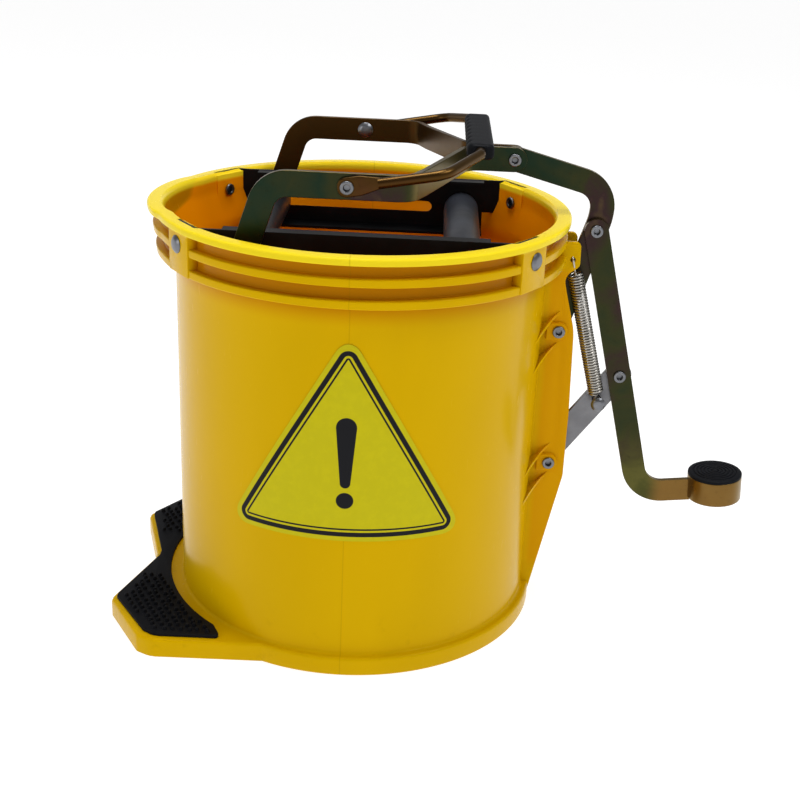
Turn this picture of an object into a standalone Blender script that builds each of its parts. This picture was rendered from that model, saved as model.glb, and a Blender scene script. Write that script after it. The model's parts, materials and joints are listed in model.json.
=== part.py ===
"""Round mop bucket with a foot-pedal roller wringer.

Axes: +X points to the pedal, +Y to the rear, +Z up. The origin is on the bucket's
axis, at floor level. Lengths are in metres, written as millimetres times MM.
"""
import math

import bmesh
import bpy
from mathutils import Matrix, Vector

MM = 0.001
GAP = 0.3 * MM                      # clearance between pieces that touch or turn

# Bucket shell
BUCKET_HEIGHT = 310 * MM
RIM_RADIUS = 150 * MM
RIB_RADIUS = RIM_RADIUS - 2 * MM
RIM_BORE = RIM_RADIUS - 12 * MM     # inner radius of the widened top band
BODY_RADIUS = RIM_RADIUS - 15 * MM
WALL = 3.5 * MM
DRAFT = 2 * MM                      # how much the inside narrows towards the floor
FLOOR = 4 * MM
BASE_RADIUS = BODY_RADIUS + 6 * MM
BASE_HEIGHT = 14 * MM
LIP_HEIGHT = 5 * MM
RIB_HEIGHT = 5.5 * MM
RIB_PITCH = 14.5 * MM
SPOUT_BULGE = 6 * MM
SPOUT_HALF_ANGLE = math.radians(22)
TURN_STEPS = 60

# Spine on the pedal side: two walls with the linkage between them
SPINE_INNER = 12 * MM               # half the clear width between the walls
SPINE_WALL = 4 * MM
SPINE_REACH = RIM_RADIUS + 10 * MM
EAR_HEIGHT = BUCKET_HEIGHT - 18 * MM
BOSS_RADIUS = 6.5 * MM
BOSS_HEIGHT = 3.5 * MM

# Foot platform on the spout side
TOE_REACH = RIM_RADIUS + 28 * MM
TOE_HALF_WIDTH = 122 * MM
TOE_SHIFT = -6 * MM                 # the platform sits a little to the front
MAT_THICKNESS = 2.5 * MM
MAT_MARGIN = 4 * MM

# Wringer frame plates
PLATE_Y = 94 * MM                   # half the distance between the two webs' middles
PLATE_THICK = 2 * MM
PLATE_TOP = BUCKET_HEIGHT - GAP
PLATE_BOTTOM = BUCKET_HEIGHT - 41.5 * MM
PLATE_HALF_LENGTH = 89 * MM
TOP_FLANGE = 11 * MM
BOTTOM_FLANGE = 18 * MM
TAB_BOTTOM = BUCKET_HEIGHT - 26 * MM
SKIN = 0.2 * MM                     # the channel's web lies this deep inside the strip's
FLANGE_RADIUS = RIM_BORE + 3 * MM            # where the plates' end flanges sit inside the rim
FLANGE_END = 11 * MM                # how far each flange runs past its rivet
PILLAR_ANGLE = math.asin((PLATE_Y - 11.9 * MM) / FLANGE_RADIUS)
PILLAR_HALF_WIDTH = 12.5 * MM
PILLAR_FACE = RIB_RADIUS              # flat outer face, where the rivet heads sit
PAD_FACE = RIM_BORE - 1.5 * MM               # flat inner pad under the rivets' tails
RIVET_Z = BUCKET_HEIGHT - 14 * MM

# Rollers
ROLLER_RADIUS = 13.5 * MM
ROLLER_HALF_LENGTH = PLATE_Y - 3.5 * MM
AXLE_RADIUS = 4 * MM
AXLE_Z = BUCKET_HEIGHT - 23.4 * MM
FIXED_ROLLER_X = 72 * MM
MOVING_ROLLER_X = -76.5 * MM
ROLLER_TRAVEL = 120 * MM

# Linkage pivots in the XZ plane
PIVOT_CRANK = (RIM_RADIUS - 3.5 * MM, BUCKET_HEIGHT - 85 * MM)
PIVOT_STRUT = (RIM_RADIUS - 2.5 * MM, BUCKET_HEIGHT - 190.5 * MM)
PIVOT_LEVER = (RIM_RADIUS + 18.7 * MM, BUCKET_HEIGHT - 11.7 * MM)
PIVOT_COUPLER = (RIM_RADIUS + 46.5 * MM, BUCKET_HEIGHT - 122.5 * MM)
PIVOT_ARMS = (RIM_RADIUS - 43.9 * MM, BUCKET_HEIGHT + 36.9 * MM)
PIVOT_ROLLER = (MOVING_ROLLER_X, AXLE_Z)
PIVOT_BAIL = (-6 * MM, BUCKET_HEIGHT + 34 * MM)
CRANK_ELBOW = ((RIM_RADIUS + 23 * MM, BUCKET_HEIGHT + 19 * MM),
               (RIM_RADIUS + 21 * MM, BUCKET_HEIGHT - 4 * MM))
SPRING_STUD = (RIM_RADIUS + 31.6 * MM, BUCKET_HEIGHT - 143 * MM)
SPRING_HOLE = (RIM_RADIUS + 2.5 * MM, BUCKET_HEIGHT - 31 * MM)

# Flat bars
BAR_THICK = 4 * MM
BAR_WIDTH = 17.5 * MM
STRUT_WIDTH = 19 * MM
RIVET_RADIUS = 3.5 * MM
LEVER_Y = -(BAR_THICK + GAP)        # the lever runs in front of the crank and the strut

# Arms
ARM_Y = PLATE_Y + 6 * MM
ARM_TOP_Z = BUCKET_HEIGHT + 34 * MM                # centre line of the arm's level run
ARM_CORNER_X = -57.5 * MM
ARM_BEND_X = 35 * MM
ARM_JOIN_X = 73 * MM

# Pedal
PEDAL_X = RIM_RADIUS + 129 * MM
PEDAL_Z = BUCKET_HEIGHT - 209 * MM
PEDAL_RADIUS = 20.5 * MM
PEDAL_HEIGHT = 19 * MM
PEDAL_TILT = math.radians(4)
SHEET = 2 * MM
ELBOW = (RIM_RADIUS + 70 * MM, PEDAL_Z - 8.5 * MM)  # corner of the lever's centre line

# Return spring
SPRING_RADIUS = 5.2 * MM
SPRING_WIRE = 0.9 * MM
SPRING_Y = -11 * MM
SPRING_TURNS = 22
SPRING_STEPS = 8

# Carrying handle
BAIL_WIRE = 3.5 * MM
BAIL_EYE = 3 * MM                   # thickness of the rod's flattened ends
BAIL_Y = ARM_Y + BAR_THICK / 2 + GAP + BAIL_WIRE
GRIP_SIZE = (18.5 * MM, 10.5 * MM)
GRIP_X = 79.5 * MM
GRIP_Z = PIVOT_ARMS[1] + (BAR_WIDTH + GRIP_SIZE[1]) / 2 + 1.1 * MM
GRIP_HALF_LENGTH = 61 * MM
BAIL_KNEE = (57 * MM, BUCKET_HEIGHT + 45.5 * MM)

# Warning label
LABEL_BASE_Z = 105.5 * MM
LABEL_HEIGHT = 148 * MM
LABEL_THICK = 0.5 * MM
LABEL_CORNER = 10 * MM

COLOURS = {                         # name: (colour, roughness, metallic)
    "yellow_plastic": ((0.95, 0.66, 0.02), 0.35, 0.0),
    "black_steel": ((0.02, 0.02, 0.025), 0.4, 0.6),
    "passivated_steel": ((0.32, 0.27, 0.14), 0.35, 0.9),
    "zinc_steel": ((0.6, 0.6, 0.58), 0.35, 0.95),
    "bright_steel": ((0.75, 0.75, 0.77), 0.25, 1.0),
    "black_rubber": ((0.015, 0.015, 0.015), 0.7, 0.0),
    "grey_roller": ((0.06, 0.065, 0.075), 0.4, 0.0),
    "white_nylon": ((0.8, 0.8, 0.78), 0.5, 0.0),
    "label_film": ((0.85, 0.8, 0.05), 0.4, 0.0),
}


# ---------------------------------------------------------------- general helpers

def clear_scene():
    for old in list(bpy.data.objects):
        bpy.data.objects.remove(old, do_unlink=True)


def material(name, finish):
    colour, roughness, metallic = COLOURS[finish]
    mat = bpy.data.materials.new(name)
    mat.use_nodes = True
    shader = mat.node_tree.nodes["Principled BSDF"]
    shader.inputs["Base Color"].default_value = (*colour, 1.0)
    shader.inputs["Roughness"].default_value = roughness
    shader.inputs["Metallic"].default_value = metallic
    return mat


def add_object(name, bm, finish=None):
    """Turn a bmesh into an object; with no finish it is a hidden cutter."""
    mesh = bpy.data.meshes.new(name)
    bmesh.ops.recalc_face_normals(bm, faces=bm.faces)
    bm.to_mesh(mesh)
    bm.free()
    obj = bpy.data.objects.new(name, mesh)
    bpy.context.scene.collection.objects.link(obj)
    if finish:
        mesh.materials.append(material(name, finish))
        mesh.shade_smooth()
        mesh.set_sharp_from_angle(angle=math.radians(35))
    else:
        obj.hide_render = True
        obj.display_type = "WIRE"
    return obj


def combine(obj, tool, operation):
    mod = obj.modifiers.new(tool.name, "BOOLEAN")
    mod.operation = operation
    mod.solver = "EXACT"
    mod.object = tool


def join(obj, bm, name):
    combine(obj, add_object(name, bm), "UNION")


def cut(obj, bm, name):
    combine(obj, add_object(name, bm), "DIFFERENCE")


def turned(profile, steps=20):
    """Solid of revolution about Z from a closed (radius, z) outline."""
    bm = bmesh.new()
    points = [bm.verts.new((r, 0, z)) for r, z in profile]
    edges = [bm.edges.new((a, b)) for a, b in zip(points, points[1:] + points[:1])]
    bmesh.ops.spin(bm, geom=points + edges, axis=(0, 0, 1), cent=(0, 0, 0),
                   angle=2 * math.pi, steps=steps, use_merge=True)
    bmesh.ops.remove_doubles(bm, verts=bm.verts, dist=1e-6)
    on_axis = [e for e in bm.edges if not e.link_faces]
    bmesh.ops.delete(bm, geom=on_axis, context="EDGES")
    return bm


def prism(outline, depth, to_world):
    """Extrude a flat outline by depth along its own Z, then place it."""
    bm = bmesh.new()
    face = bm.faces.new([bm.verts.new((u, v, 0)) for u, v in outline])
    side = bmesh.ops.extrude_face_region(bm, geom=[face])
    top = [g for g in side["geom"] if isinstance(g, bmesh.types.BMVert)]
    bmesh.ops.translate(bm, verts=top, vec=(0, 0, depth))
    bmesh.ops.transform(bm, matrix=to_world, verts=bm.verts)
    return bm


def side_view(y_low):
    """Matrix that puts an (x, z) outline in the XZ plane, growing towards +Y."""
    return Matrix(((1, 0, 0, 0), (0, 0, 1, y_low), (0, 1, 0, 0), (0, 0, 0, 1)))


def plan_view(z_low):
    return Matrix.Translation((0, 0, z_low))


def along_y(x, z, y=0.0):
    """Matrix that turns a shape about Z into one about a line along Y."""
    return Matrix.Translation((x, y, z)) @ Matrix.Rotation(-math.pi / 2, 4, "X")


def rod(radius, low, high, steps=20):
    return turned([(0, low), (radius, low), (radius, high), (0, high)], steps)


def ring(inner, outer, low, high, steps=20):
    return turned([(inner, low), (outer, low), (outer, high), (inner, high)], steps)


def placed(bm, matrix):
    bmesh.ops.transform(bm, matrix=matrix, verts=bm.verts)
    return bm


def arc(centre, radius, start, end, steps):
    return [(centre[0] + radius * math.cos(start + (end - start) * i / steps),
             centre[1] + radius * math.sin(start + (end - start) * i / steps))
            for i in range(steps + 1)]


def rounded_path(points, radii, steps=5):
    """Centre line through points, with each inner corner turned into an arc."""
    path = [Vector(points[0])]
    for before, corner, after, radius in zip(points, points[1:], points[2:], radii):
        corner = Vector(corner)
        back = (Vector(before) - corner).normalized()
        ahead = (Vector(after) - corner).normalized()
        half = back.angle(ahead) / 2
        centre = corner + (back + ahead).normalized() * radius / math.sin(half)
        start = corner + back * radius / math.tan(half) - centre
        turn = math.pi - 2 * half
        if back.x * ahead.y - back.y * ahead.x > 0:
            turn = -turn
        for i in range(steps + 1):
            spoke = start.copy()
            spoke.rotate(Matrix.Rotation(turn * i / steps, 2))
            path.append(centre + spoke)
    path.append(Vector(points[-1]))
    return path


def bar_outline(points, width, radii=(), round_ends=(True, True)):
    """Outline of a flat bar of even width along a centre line with curved corners."""
    path = rounded_path(points, radii)
    left, right = [], []
    for i, point in enumerate(path):
        ahead = path[min(i + 1, len(path) - 1)] - path[max(i - 1, 0)]
        normal = Vector((-ahead.y, ahead.x)).normalized() * width / 2
        left.append(point + normal)
        right.append(point - normal)

    def cap(centre, first):
        spoke = first - centre
        caps = []
        for i in range(1, 8):
            turned_spoke = spoke.copy()
            turned_spoke.rotate(Matrix.Rotation(-math.pi * i / 8, 2))
            caps.append(centre + turned_spoke)
        return caps

    outline = list(left)
    if round_ends[1]:
        outline += cap(path[-1], left[-1])
    outline += reversed(right)
    if round_ends[0]:
        outline += cap(path[0], right[0])
    return outline


def bent_wire(name, points, radius, resolution, finish):
    """Round wire with flat ends along a list of points."""
    curve = bpy.data.curves.new(name, "CURVE")
    curve.dimensions = "3D"
    curve.bevel_depth = radius
    curve.bevel_resolution = resolution
    curve.use_fill_caps = True
    spline = curve.splines.new("POLY")
    spline.points.add(len(points) - 1)
    for target, point in zip(spline.points, points):
        target.co = (*point, 1)
    guide = bpy.data.objects.new(name + "_guide", curve)
    bm = bmesh.new()
    bm.from_mesh(guide.to_mesh())
    guide.to_mesh_clear()
    bpy.data.objects.remove(guide, do_unlink=True)
    bmesh.ops.remove_doubles(bm, verts=bm.verts, dist=1e-6)
    return add_object(name, bm, finish)


def aim(point, direction):
    """Matrix that stands a shape made about Z on a point, along a direction."""
    turn = Vector(direction).to_track_quat("Z", "Y").to_matrix().to_4x4()
    return Matrix.Translation(point) @ turn


def pin_hole(obj, pivot, y_low, y_high, radius=RIVET_RADIUS + GAP):
    hole = placed(rod(radius, y_low, y_high), along_y(*pivot))
    cut(obj, hole, obj.name + "_hole")


def rivet_solid(length, radius, head, tail=True, dome=True):
    """Domed head below z = 0, shank up to length, then a flared hollow tail."""
    rise = 2.4 * MM
    profile = []
    if dome:
        profile = [(head * math.sin(a), -rise * math.cos(a))
                   for a in (math.pi / 6 * i for i in range(4))]
    else:
        profile = [(0, 0)]
    profile += [(radius, 0), (radius, length)]
    if tail:
        bore = radius - 1.3 * MM
        flare = radius + 1.2 * MM
        end = length + 1.6 * MM
        profile += [(flare, length), (flare, end), (bore, end), (bore, length - 2 * MM),
                    (0, length - 2 * MM)]
    else:
        profile += [(0, length)]
    return turned(profile, 16)


def pivot_rivet(name, pivot, y_tail, y_head, radius=RIVET_RADIUS, **ends):
    """Rivet along Y with its hollow tail at y_tail and its dome at y_head."""
    towards = -1 if y_tail < y_head else 1
    place = aim((pivot[0], y_head, pivot[1]), (0, towards, 0))
    solid = rivet_solid(abs(y_head - y_tail), radius, radius + 2.5 * MM, **ends)
    add_object(name, placed(solid, place), "bright_steel")


# ------------------------------------------------------------------------- bucket

def rib_top(count):
    """Height of the top face of the first or second rib below the lip."""
    return BUCKET_HEIGHT - LIP_HEIGHT - count * RIB_PITCH + RIB_HEIGHT


def outer_profile():
    """Half section of the bucket's outside, filled in to the axis."""
    lip_low = BUCKET_HEIGHT - LIP_HEIGHT
    band = RIM_BORE + WALL
    soft = 2 * MM
    outline = [(0, 0), (BASE_RADIUS, 0), (BASE_RADIUS, BASE_HEIGHT - soft),
               (BASE_RADIUS - soft, BASE_HEIGHT), (BODY_RADIUS, BASE_HEIGHT + soft),
               (BODY_RADIUS, rib_top(2) - RIB_HEIGHT)]
    for count in (2, 1):
        top = rib_top(count)
        outline += [(RIB_RADIUS, top - RIB_HEIGHT), (RIB_RADIUS, top), (band, top)]
    return outline + [(band, lip_low), (RIM_RADIUS, lip_low), (RIM_RADIUS, BUCKET_HEIGHT - soft),
                      (RIM_RADIUS - soft, BUCKET_HEIGHT), (0, BUCKET_HEIGHT)]


def core_profile():
    """Half section of the space inside the bucket, open at the top."""
    soft = 2 * MM
    narrow = BODY_RADIUS - WALL
    above = 6 * MM
    return [(0, FLOOR), (narrow - DRAFT - 6 * MM, FLOOR), (narrow - DRAFT, FLOOR + 6 * MM),
            (narrow, BUCKET_HEIGHT - 38 * MM), (RIM_BORE, BUCKET_HEIGHT - 14 * MM),
            (RIM_BORE, BUCKET_HEIGHT - soft), (RIM_BORE + soft + above, BUCKET_HEIGHT + above),
            (0, BUCKET_HEIGHT + above)]


def shape_spout(bm):
    """Push the top band outwards on the side of the foot platform."""
    low = BUCKET_HEIGHT - 40 * MM
    for v in bm.verts:
        away = math.pi - abs(math.atan2(v.co.y, v.co.x))
        if v.co.z < low or away > SPOUT_HALF_ANGLE:
            continue
        swell = math.cos(away / SPOUT_HALF_ANGLE * math.pi / 2) ** 0.5
        rise = (v.co.z - low) / (BUCKET_HEIGHT - low)
        v.co += Vector((v.co.x, v.co.y, 0)).normalized() * SPOUT_BULGE * swell * rise


def spine_outline():
    """Side view of one spine wall, from the base up to the spring ear."""
    inside = BODY_RADIUS - WALL / 2
    top_x = RIM_BORE + WALL / 2
    ear_x, ear_z = SPRING_HOLE
    return ([(inside, 1 * MM), (BASE_RADIUS - 2 * MM, 1 * MM),
             (SPINE_REACH, PIVOT_STRUT[1] - 12 * MM), (SPINE_REACH, PIVOT_STRUT[1]),
             (SPINE_REACH - 2 * MM, PIVOT_CRANK[1]), (ear_x - 2.5 * MM, ear_z - 24 * MM),
             (ear_x - 5 * MM, ear_z - 11 * MM)]
            + arc(SPRING_HOLE, 6.5 * MM, math.radians(-120), math.radians(60), 7)
            + [(ear_x + 3 * MM, EAR_HEIGHT), (top_x, EAR_HEIGHT),
               (top_x, EAR_HEIGHT - 12 * MM), (inside, EAR_HEIGHT - 32 * MM)])


def gusset(pivot, lift, side):
    """Thin sloping web between the bucket wall and the spine, beside a boss."""
    face_y = SPINE_INNER + SPINE_WALL / 2
    root_x = BODY_RADIUS - 12 * MM
    tip_x = pivot[0] - 1 * MM
    plan = [(tip_x, face_y), (root_x, face_y), (root_x, 50 * MM),
            (root_x + 5 * MM, 42 * MM), (root_x + 11 * MM, 27 * MM)]
    bm = prism([(x, side * y) for x, y in plan], 2.5 * MM, plan_view(0))
    for v in bm.verts:
        v.co.z += pivot[1] + lift + 0.9 * (v.co.x - tip_x)
    return bm


def foot_platform_outline():
    """Two toes joined by a neck, seen from above, running into the base ring."""
    toe = TOE_HALF_WIDTH
    reach = TOE_REACH
    front = [(-50 * MM, -toe), (40 * MM - reach, -toe - 2 * MM), (29 * MM - reach, -toe + 4 * MM),
             (-reach, -71 * MM), (-reach, -66 * MM), (19 * MM - reach, -4 * MM)]
    rear = [(x, -y) for x, y in reversed(front)]
    return [(x, y + TOE_SHIFT) for x, y in front + rear]


def mat_outline():
    """The tread covers both toes and their neck, a margin inside the platform."""
    toe = TOE_HALF_WIDTH - MAT_MARGIN
    reach = TOE_REACH - MAT_MARGIN
    front = [(86 * MM - reach, -toe), (38 * MM - reach, -toe - 1 * MM),
             (29 * MM - reach, -toe + 5 * MM), (-reach, -70 * MM), (-reach, -66 * MM),
             (19 * MM - reach, -4 * MM)]
    rear = [(x, -y) for x, y in reversed(front)]
    toes = [(x, y + TOE_SHIFT) for x, y in front + rear]
    return toes + arc((0, 0), BASE_RADIUS + 4 * MM, math.radians(131), math.radians(229), 14)


def corner_frame(side_x, side_y):
    """Matrix that mirrors the (+X, +Y) corner to any of the four."""
    return Matrix.Diagonal((side_x, side_y, 1, 1))


def corner_point(radial, tangent, z=0.0):
    """A point by distance out along the pillar's middle line and across it."""
    cos_a, sin_a = math.cos(PILLAR_ANGLE), math.sin(PILLAR_ANGLE)
    return Vector((radial * cos_a + tangent * sin_a, radial * sin_a - tangent * cos_a, z))


def flange_path():
    """Plan path of a plate's end: straight along X, then along the rim's wall."""
    cos_a, sin_a = math.cos(PILLAR_ANGLE), math.sin(PILLAR_ANGLE)
    knee = ((FLANGE_RADIUS - PLATE_Y * sin_a) / cos_a, PLATE_Y)
    end = corner_point(FLANGE_RADIUS, FLANGE_END)
    return [(PLATE_HALF_LENGTH - 10 * MM, PLATE_Y), knee, (end.x, end.y)]


def pillar():
    """Block of the rim that holds a plate's flange and its rivet."""
    low, high = PILLAR_HALF_WIDTH + 4 * MM, PILLAR_HALF_WIDTH
    plan = [corner_point(r, t).to_2d() for r, t in
            ((PAD_FACE, -low), (PILLAR_FACE, -low), (PILLAR_FACE, high), (PAD_FACE, high))]
    base = BUCKET_HEIGHT - LIP_HEIGHT - 2 * RIB_PITCH
    return prism(plan, BUCKET_HEIGHT - 1.5 * MM - base, plan_view(base))


def make_bucket():
    outside = turned(outer_profile(), TURN_STEPS)
    shape_spout(outside)
    bucket = add_object("bucket", outside, "yellow_plastic")
    join(bucket, prism(foot_platform_outline(), BASE_HEIGHT, plan_view(0)), "foot_platform")
    for side in (-1, 1):
        face = side * SPINE_INNER if side > 0 else -SPINE_INNER - SPINE_WALL
        join(bucket, prism(spine_outline(), SPINE_WALL, side_view(face)), f"spine_{side}")
        for pivot in (PIVOT_CRANK, PIVOT_STRUT):
            outer = side * (SPINE_INNER + SPINE_WALL + BOSS_HEIGHT)
            boss = rod(BOSS_RADIUS, *sorted((outer, side * (SPINE_INNER + 1 * MM))))
            join(bucket, placed(boss, along_y(*pivot)), f"boss_{side}")
            for lift in (17 * MM, -7 * MM):
                join(bucket, gusset(pivot, lift, side), f"gusset_{side}")
    inside = turned(core_profile(), TURN_STEPS)
    shape_spout(inside)
    cut(bucket, inside, "inside")
    pocket_path = flange_path()
    pocket_path[-1] = tuple(corner_point(FLANGE_RADIUS, FLANGE_END + GAP).to_2d())
    pocket = bar_outline(pocket_path, PLATE_THICK + 2 * GAP, [3 * MM], (False, False))
    for side_x in (-1, 1):
        for side_y in (-1, 1):
            corner = corner_frame(side_x, side_y)
            join(bucket, placed(pillar(), corner), "pillar")
    for side_x in (-1, 1):
        for side_y in (-1, 1):
            corner = corner_frame(side_x, side_y)
            height = BUCKET_HEIGHT - TAB_BOTTOM + 10 * MM
            slot = prism(pocket, height, plan_view(TAB_BOTTOM - GAP))
            cut(bucket, placed(slot, corner), "pocket")
            hole = placed(rod(RIVET_RADIUS, -20 * MM, 20 * MM),
                          aim(corner_point(FLANGE_RADIUS, 0, RIVET_Z), corner_point(1, 0)))
            cut(bucket, placed(hole, corner), "rivet_hole")
    reach = SPINE_INNER + SPINE_WALL + BOSS_HEIGHT + 5 * MM
    pin_hole(bucket, PIVOT_CRANK, -reach, reach)
    pin_hole(bucket, PIVOT_STRUT, -reach, reach)
    pin_hole(bucket, SPRING_HOLE, -reach, reach, 2.2 * MM)


def make_tread_mat():
    mat = prism(mat_outline(), MAT_THICKNESS, plan_view(BASE_HEIGHT + GAP))
    add_object("tread_mat", mat, "black_rubber")


def make_warning_label():
    """Rounded triangle of film wrapped round the front of the bucket."""
    low, high = LABEL_BASE_Z, LABEL_BASE_Z + LABEL_HEIGHT
    half = LABEL_HEIGHT / math.sqrt(3) + 3 * MM
    inset = LABEL_CORNER
    corners = [(-half, low), (half, low), (0, high + 4 * MM)]
    middle = (0, low + LABEL_HEIGHT / 3)
    outline = []
    for i, (u, v) in enumerate(corners):
        start = math.radians((150, 270, 30)[i])
        away = math.hypot(u - middle[0], v - middle[1])
        pull = 2 * inset / away
        centre = (u + (middle[0] - u) * pull, v + (middle[1] - v) * pull)
        outline += arc(centre, inset, start, start + math.radians(120), 6)
    bm = prism(outline, LABEL_THICK, Matrix.Identity(4))
    for step in range(-17, 18):
        bmesh.ops.bisect_plane(bm, geom=bm.verts[:] + bm.edges[:] + bm.faces[:],
                               plane_co=(step * 5 * MM, 0, 0), plane_no=(1, 0, 0))
    seat = BODY_RADIUS + GAP
    for v in bm.verts:
        turn = v.co.x / seat
        radius = seat + v.co.z
        v.co = Vector((radius * math.sin(turn), -radius * math.cos(turn), v.co.y))
    add_object("warning_label", bm, "label_film")


# ------------------------------------------------------------------ wringer frame

def channel_section():
    """Cross section (y, z) of the rear plate's flanges, with a web inside the strip's."""
    out, web = PLATE_Y + PLATE_THICK / 2, PLATE_Y - PLATE_THICK / 2
    top, low = PLATE_TOP - SKIN, PLATE_BOTTOM
    return [(out - SKIN, low), (out - SKIN, top), (out - TOP_FLANGE, top),
            (out - TOP_FLANGE, top - PLATE_THICK), (web + SKIN, top - PLATE_THICK),
            (web + SKIN, low + PLATE_THICK), (out - BOTTOM_FLANGE, low + PLATE_THICK),
            (out - BOTTOM_FLANGE, low)]


def make_frame_plate(name, side_y):
    """A strip from rim to rim with bent ends, stiffened by a channel between them."""
    flip = corner_frame(1, side_y)
    right = flange_path()[1:]
    path = [(-x, y) for x, y in reversed(right)] + right
    strip = bar_outline(path, PLATE_THICK, [3 * MM, 3 * MM], (False, False))
    strip = prism(strip, PLATE_TOP - TAB_BOTTOM, plan_view(TAB_BOTTOM))
    plate = add_object(name, placed(strip, flip), "black_steel")
    along_x = Matrix(((0, 0, 1, -PLATE_HALF_LENGTH), (1, 0, 0, 0), (0, 1, 0, 0), (0, 0, 0, 1)))
    channel = prism(channel_section(), 2 * PLATE_HALF_LENGTH, along_x)
    join(plate, placed(channel, flip), "channel")
    for side_x in (-1, 1):
        corner = corner_frame(side_x, side_y)
        hole = placed(rod(RIVET_RADIUS, -10 * MM, 10 * MM),
                      aim(corner_point(FLANGE_RADIUS, 0, RIVET_Z), corner_point(1, 0)))
        cut(plate, placed(hole, corner), "rivet_hole")
    slot_start = MOVING_ROLLER_X
    slot_end = MOVING_ROLLER_X + ROLLER_TRAVEL + 1 * MM
    slot = bar_outline([(slot_start, AXLE_Z), (slot_end, AXLE_Z)], 2 * (AXLE_RADIUS + GAP))
    y_low = side_y * PLATE_Y - 5 * MM
    cut(plate, prism(slot, 10 * MM, side_view(y_low)), "slot")
    pin_hole(plate, (FIXED_ROLLER_X, AXLE_Z), y_low, y_low + 10 * MM, AXLE_RADIUS + GAP)


def make_frame_rivet(name, side_x, side_y):
    head = corner_point(PILLAR_FACE + GAP, 0, RIVET_Z)
    inward = -corner_point(1, 0)
    length = PILLAR_FACE - PAD_FACE + 2 * GAP
    solid = rivet_solid(length, RIVET_RADIUS - GAP, 6.2 * MM)
    solid = placed(solid, corner_frame(side_x, side_y) @ aim(head, inward))
    add_object(name, solid, "bright_steel")


# ------------------------------------------------------------------------ rollers

def make_roller(name, x, finish):
    bore = AXLE_RADIUS + GAP
    soft = 1.5 * MM
    half = ROLLER_HALF_LENGTH
    body = turned([(bore, -half), (ROLLER_RADIUS - soft, -half), (ROLLER_RADIUS, -half + soft),
                   (ROLLER_RADIUS, half - soft), (ROLLER_RADIUS - soft, half), (bore, half)], 28)
    add_object(name, placed(body, along_y(x, AXLE_Z)), finish)


def make_fixed_axle():
    web_out = PLATE_Y + PLATE_THICK / 2
    end = web_out + 4.5 * MM
    axle = rod(AXLE_RADIUS, -end, end)
    place = along_y(FIXED_ROLLER_X, AXLE_Z)
    add_object("fixed_roller_axle", placed(axle, place), "zinc_steel")
    for side, label in ((-1, "front"), (1, "rear")):
        near, far = sorted((side * (web_out + GAP), side * (web_out + 3 * MM)))
        cap = ring(AXLE_RADIUS + GAP, 7.5 * MM, near, far)
        add_object(f"axle_clip_{label}", placed(cap, place), "zinc_steel")


def make_sliding_axle():
    """Axle of the moving roller, with a washer on each face of each plate."""
    web_in, web_out = PLATE_Y - PLATE_THICK / 2, PLATE_Y + PLATE_THICK / 2
    end = ARM_Y - BAR_THICK / 2 - 2 * GAP
    place = along_y(MOVING_ROLLER_X, AXLE_Z)
    add_object("sliding_axle", placed(rod(AXLE_RADIUS, -end, end), place), "zinc_steel")
    washer = 1.5 * MM
    for side, label in ((-1, "front"), (1, "rear")):
        for start, face in ((web_in - GAP - washer, "inner"), (web_out + GAP, "outer")):
            low, high = sorted((side * start, side * (start + washer)))
            solid = ring(AXLE_RADIUS + GAP, 8 * MM, low, high)
            add_object(f"slide_washer_{label}_{face}", placed(solid, place), "white_nylon")


# ---------------------------------------------------------------- arms and handle

def bend_in_plan(bm, path):
    """Bend a straight bar that lies along X so that it follows a plan path."""
    reach = [0.0]
    for a, b in zip(path, path[1:]):
        reach.append(reach[-1] + (b - a).length)
    start = path[0].x
    for s in reach[1:-1]:
        bmesh.ops.bisect_plane(bm, geom=bm.verts[:] + bm.edges[:] + bm.faces[:],
                               plane_co=(start + s, 0, 0), plane_no=(1, 0, 0))
    last = len(path) - 2

    def tangent(i):
        return (path[i + 1] - path[i]).normalized()

    for v in bm.verts:
        s = v.co.x - start
        i = min(max(sum(r <= s + 1e-7 for r in reach) - 1, 0), last)
        ahead = tangent(i)
        point = path[i] + ahead * (s - reach[i])
        if 0 < i and abs(s - reach[i]) < 1e-6:
            ahead = (tangent(i) + tangent(i - 1)).normalized()
        v.co = Vector((point.x - ahead.y * v.co.y, point.y + ahead.x * v.co.y, v.co.z))


def arm_plan(side):
    """Plan path of an arm, from the moving roller's axle to the crank."""
    join_y = BAR_THICK + GAP
    points = [(MOVING_ROLLER_X - 20 * MM, side * ARM_Y), (ARM_BEND_X, side * ARM_Y),
              (ARM_JOIN_X, side * join_y), (PIVOT_ARMS[0] + 20 * MM, side * join_y)]
    return rounded_path(points, [14 * MM, 14 * MM], 4)


def make_arm(name, side):
    path = arm_plan(side)
    beyond = path[-1].x - PIVOT_ARMS[0]
    length = sum((b - a).length for a, b in zip(path, path[1:]))
    flat_end = path[0].x + length - beyond
    centre = [PIVOT_ROLLER, (ARM_CORNER_X, ARM_TOP_Z), (ARM_BEND_X + 20 * MM, ARM_TOP_Z),
              (flat_end - 40 * MM, PIVOT_ARMS[1]), (flat_end, PIVOT_ARMS[1])]
    outline = bar_outline(centre, BAR_WIDTH, [18 * MM, 40 * MM, 40 * MM])
    bm = prism(outline, BAR_THICK, side_view(-BAR_THICK / 2))
    bend_in_plan(bm, path)
    arm = add_object(name, bm, "passivated_steel")
    pin_hole(arm, PIVOT_ARMS, *sorted((side * 1 * MM, side * 12 * MM)))
    for pivot in (PIVOT_ROLLER, PIVOT_BAIL):
        pin_hole(arm, pivot, *sorted((side * (ARM_Y - 8 * MM), side * (ARM_Y + 8 * MM))))


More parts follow.
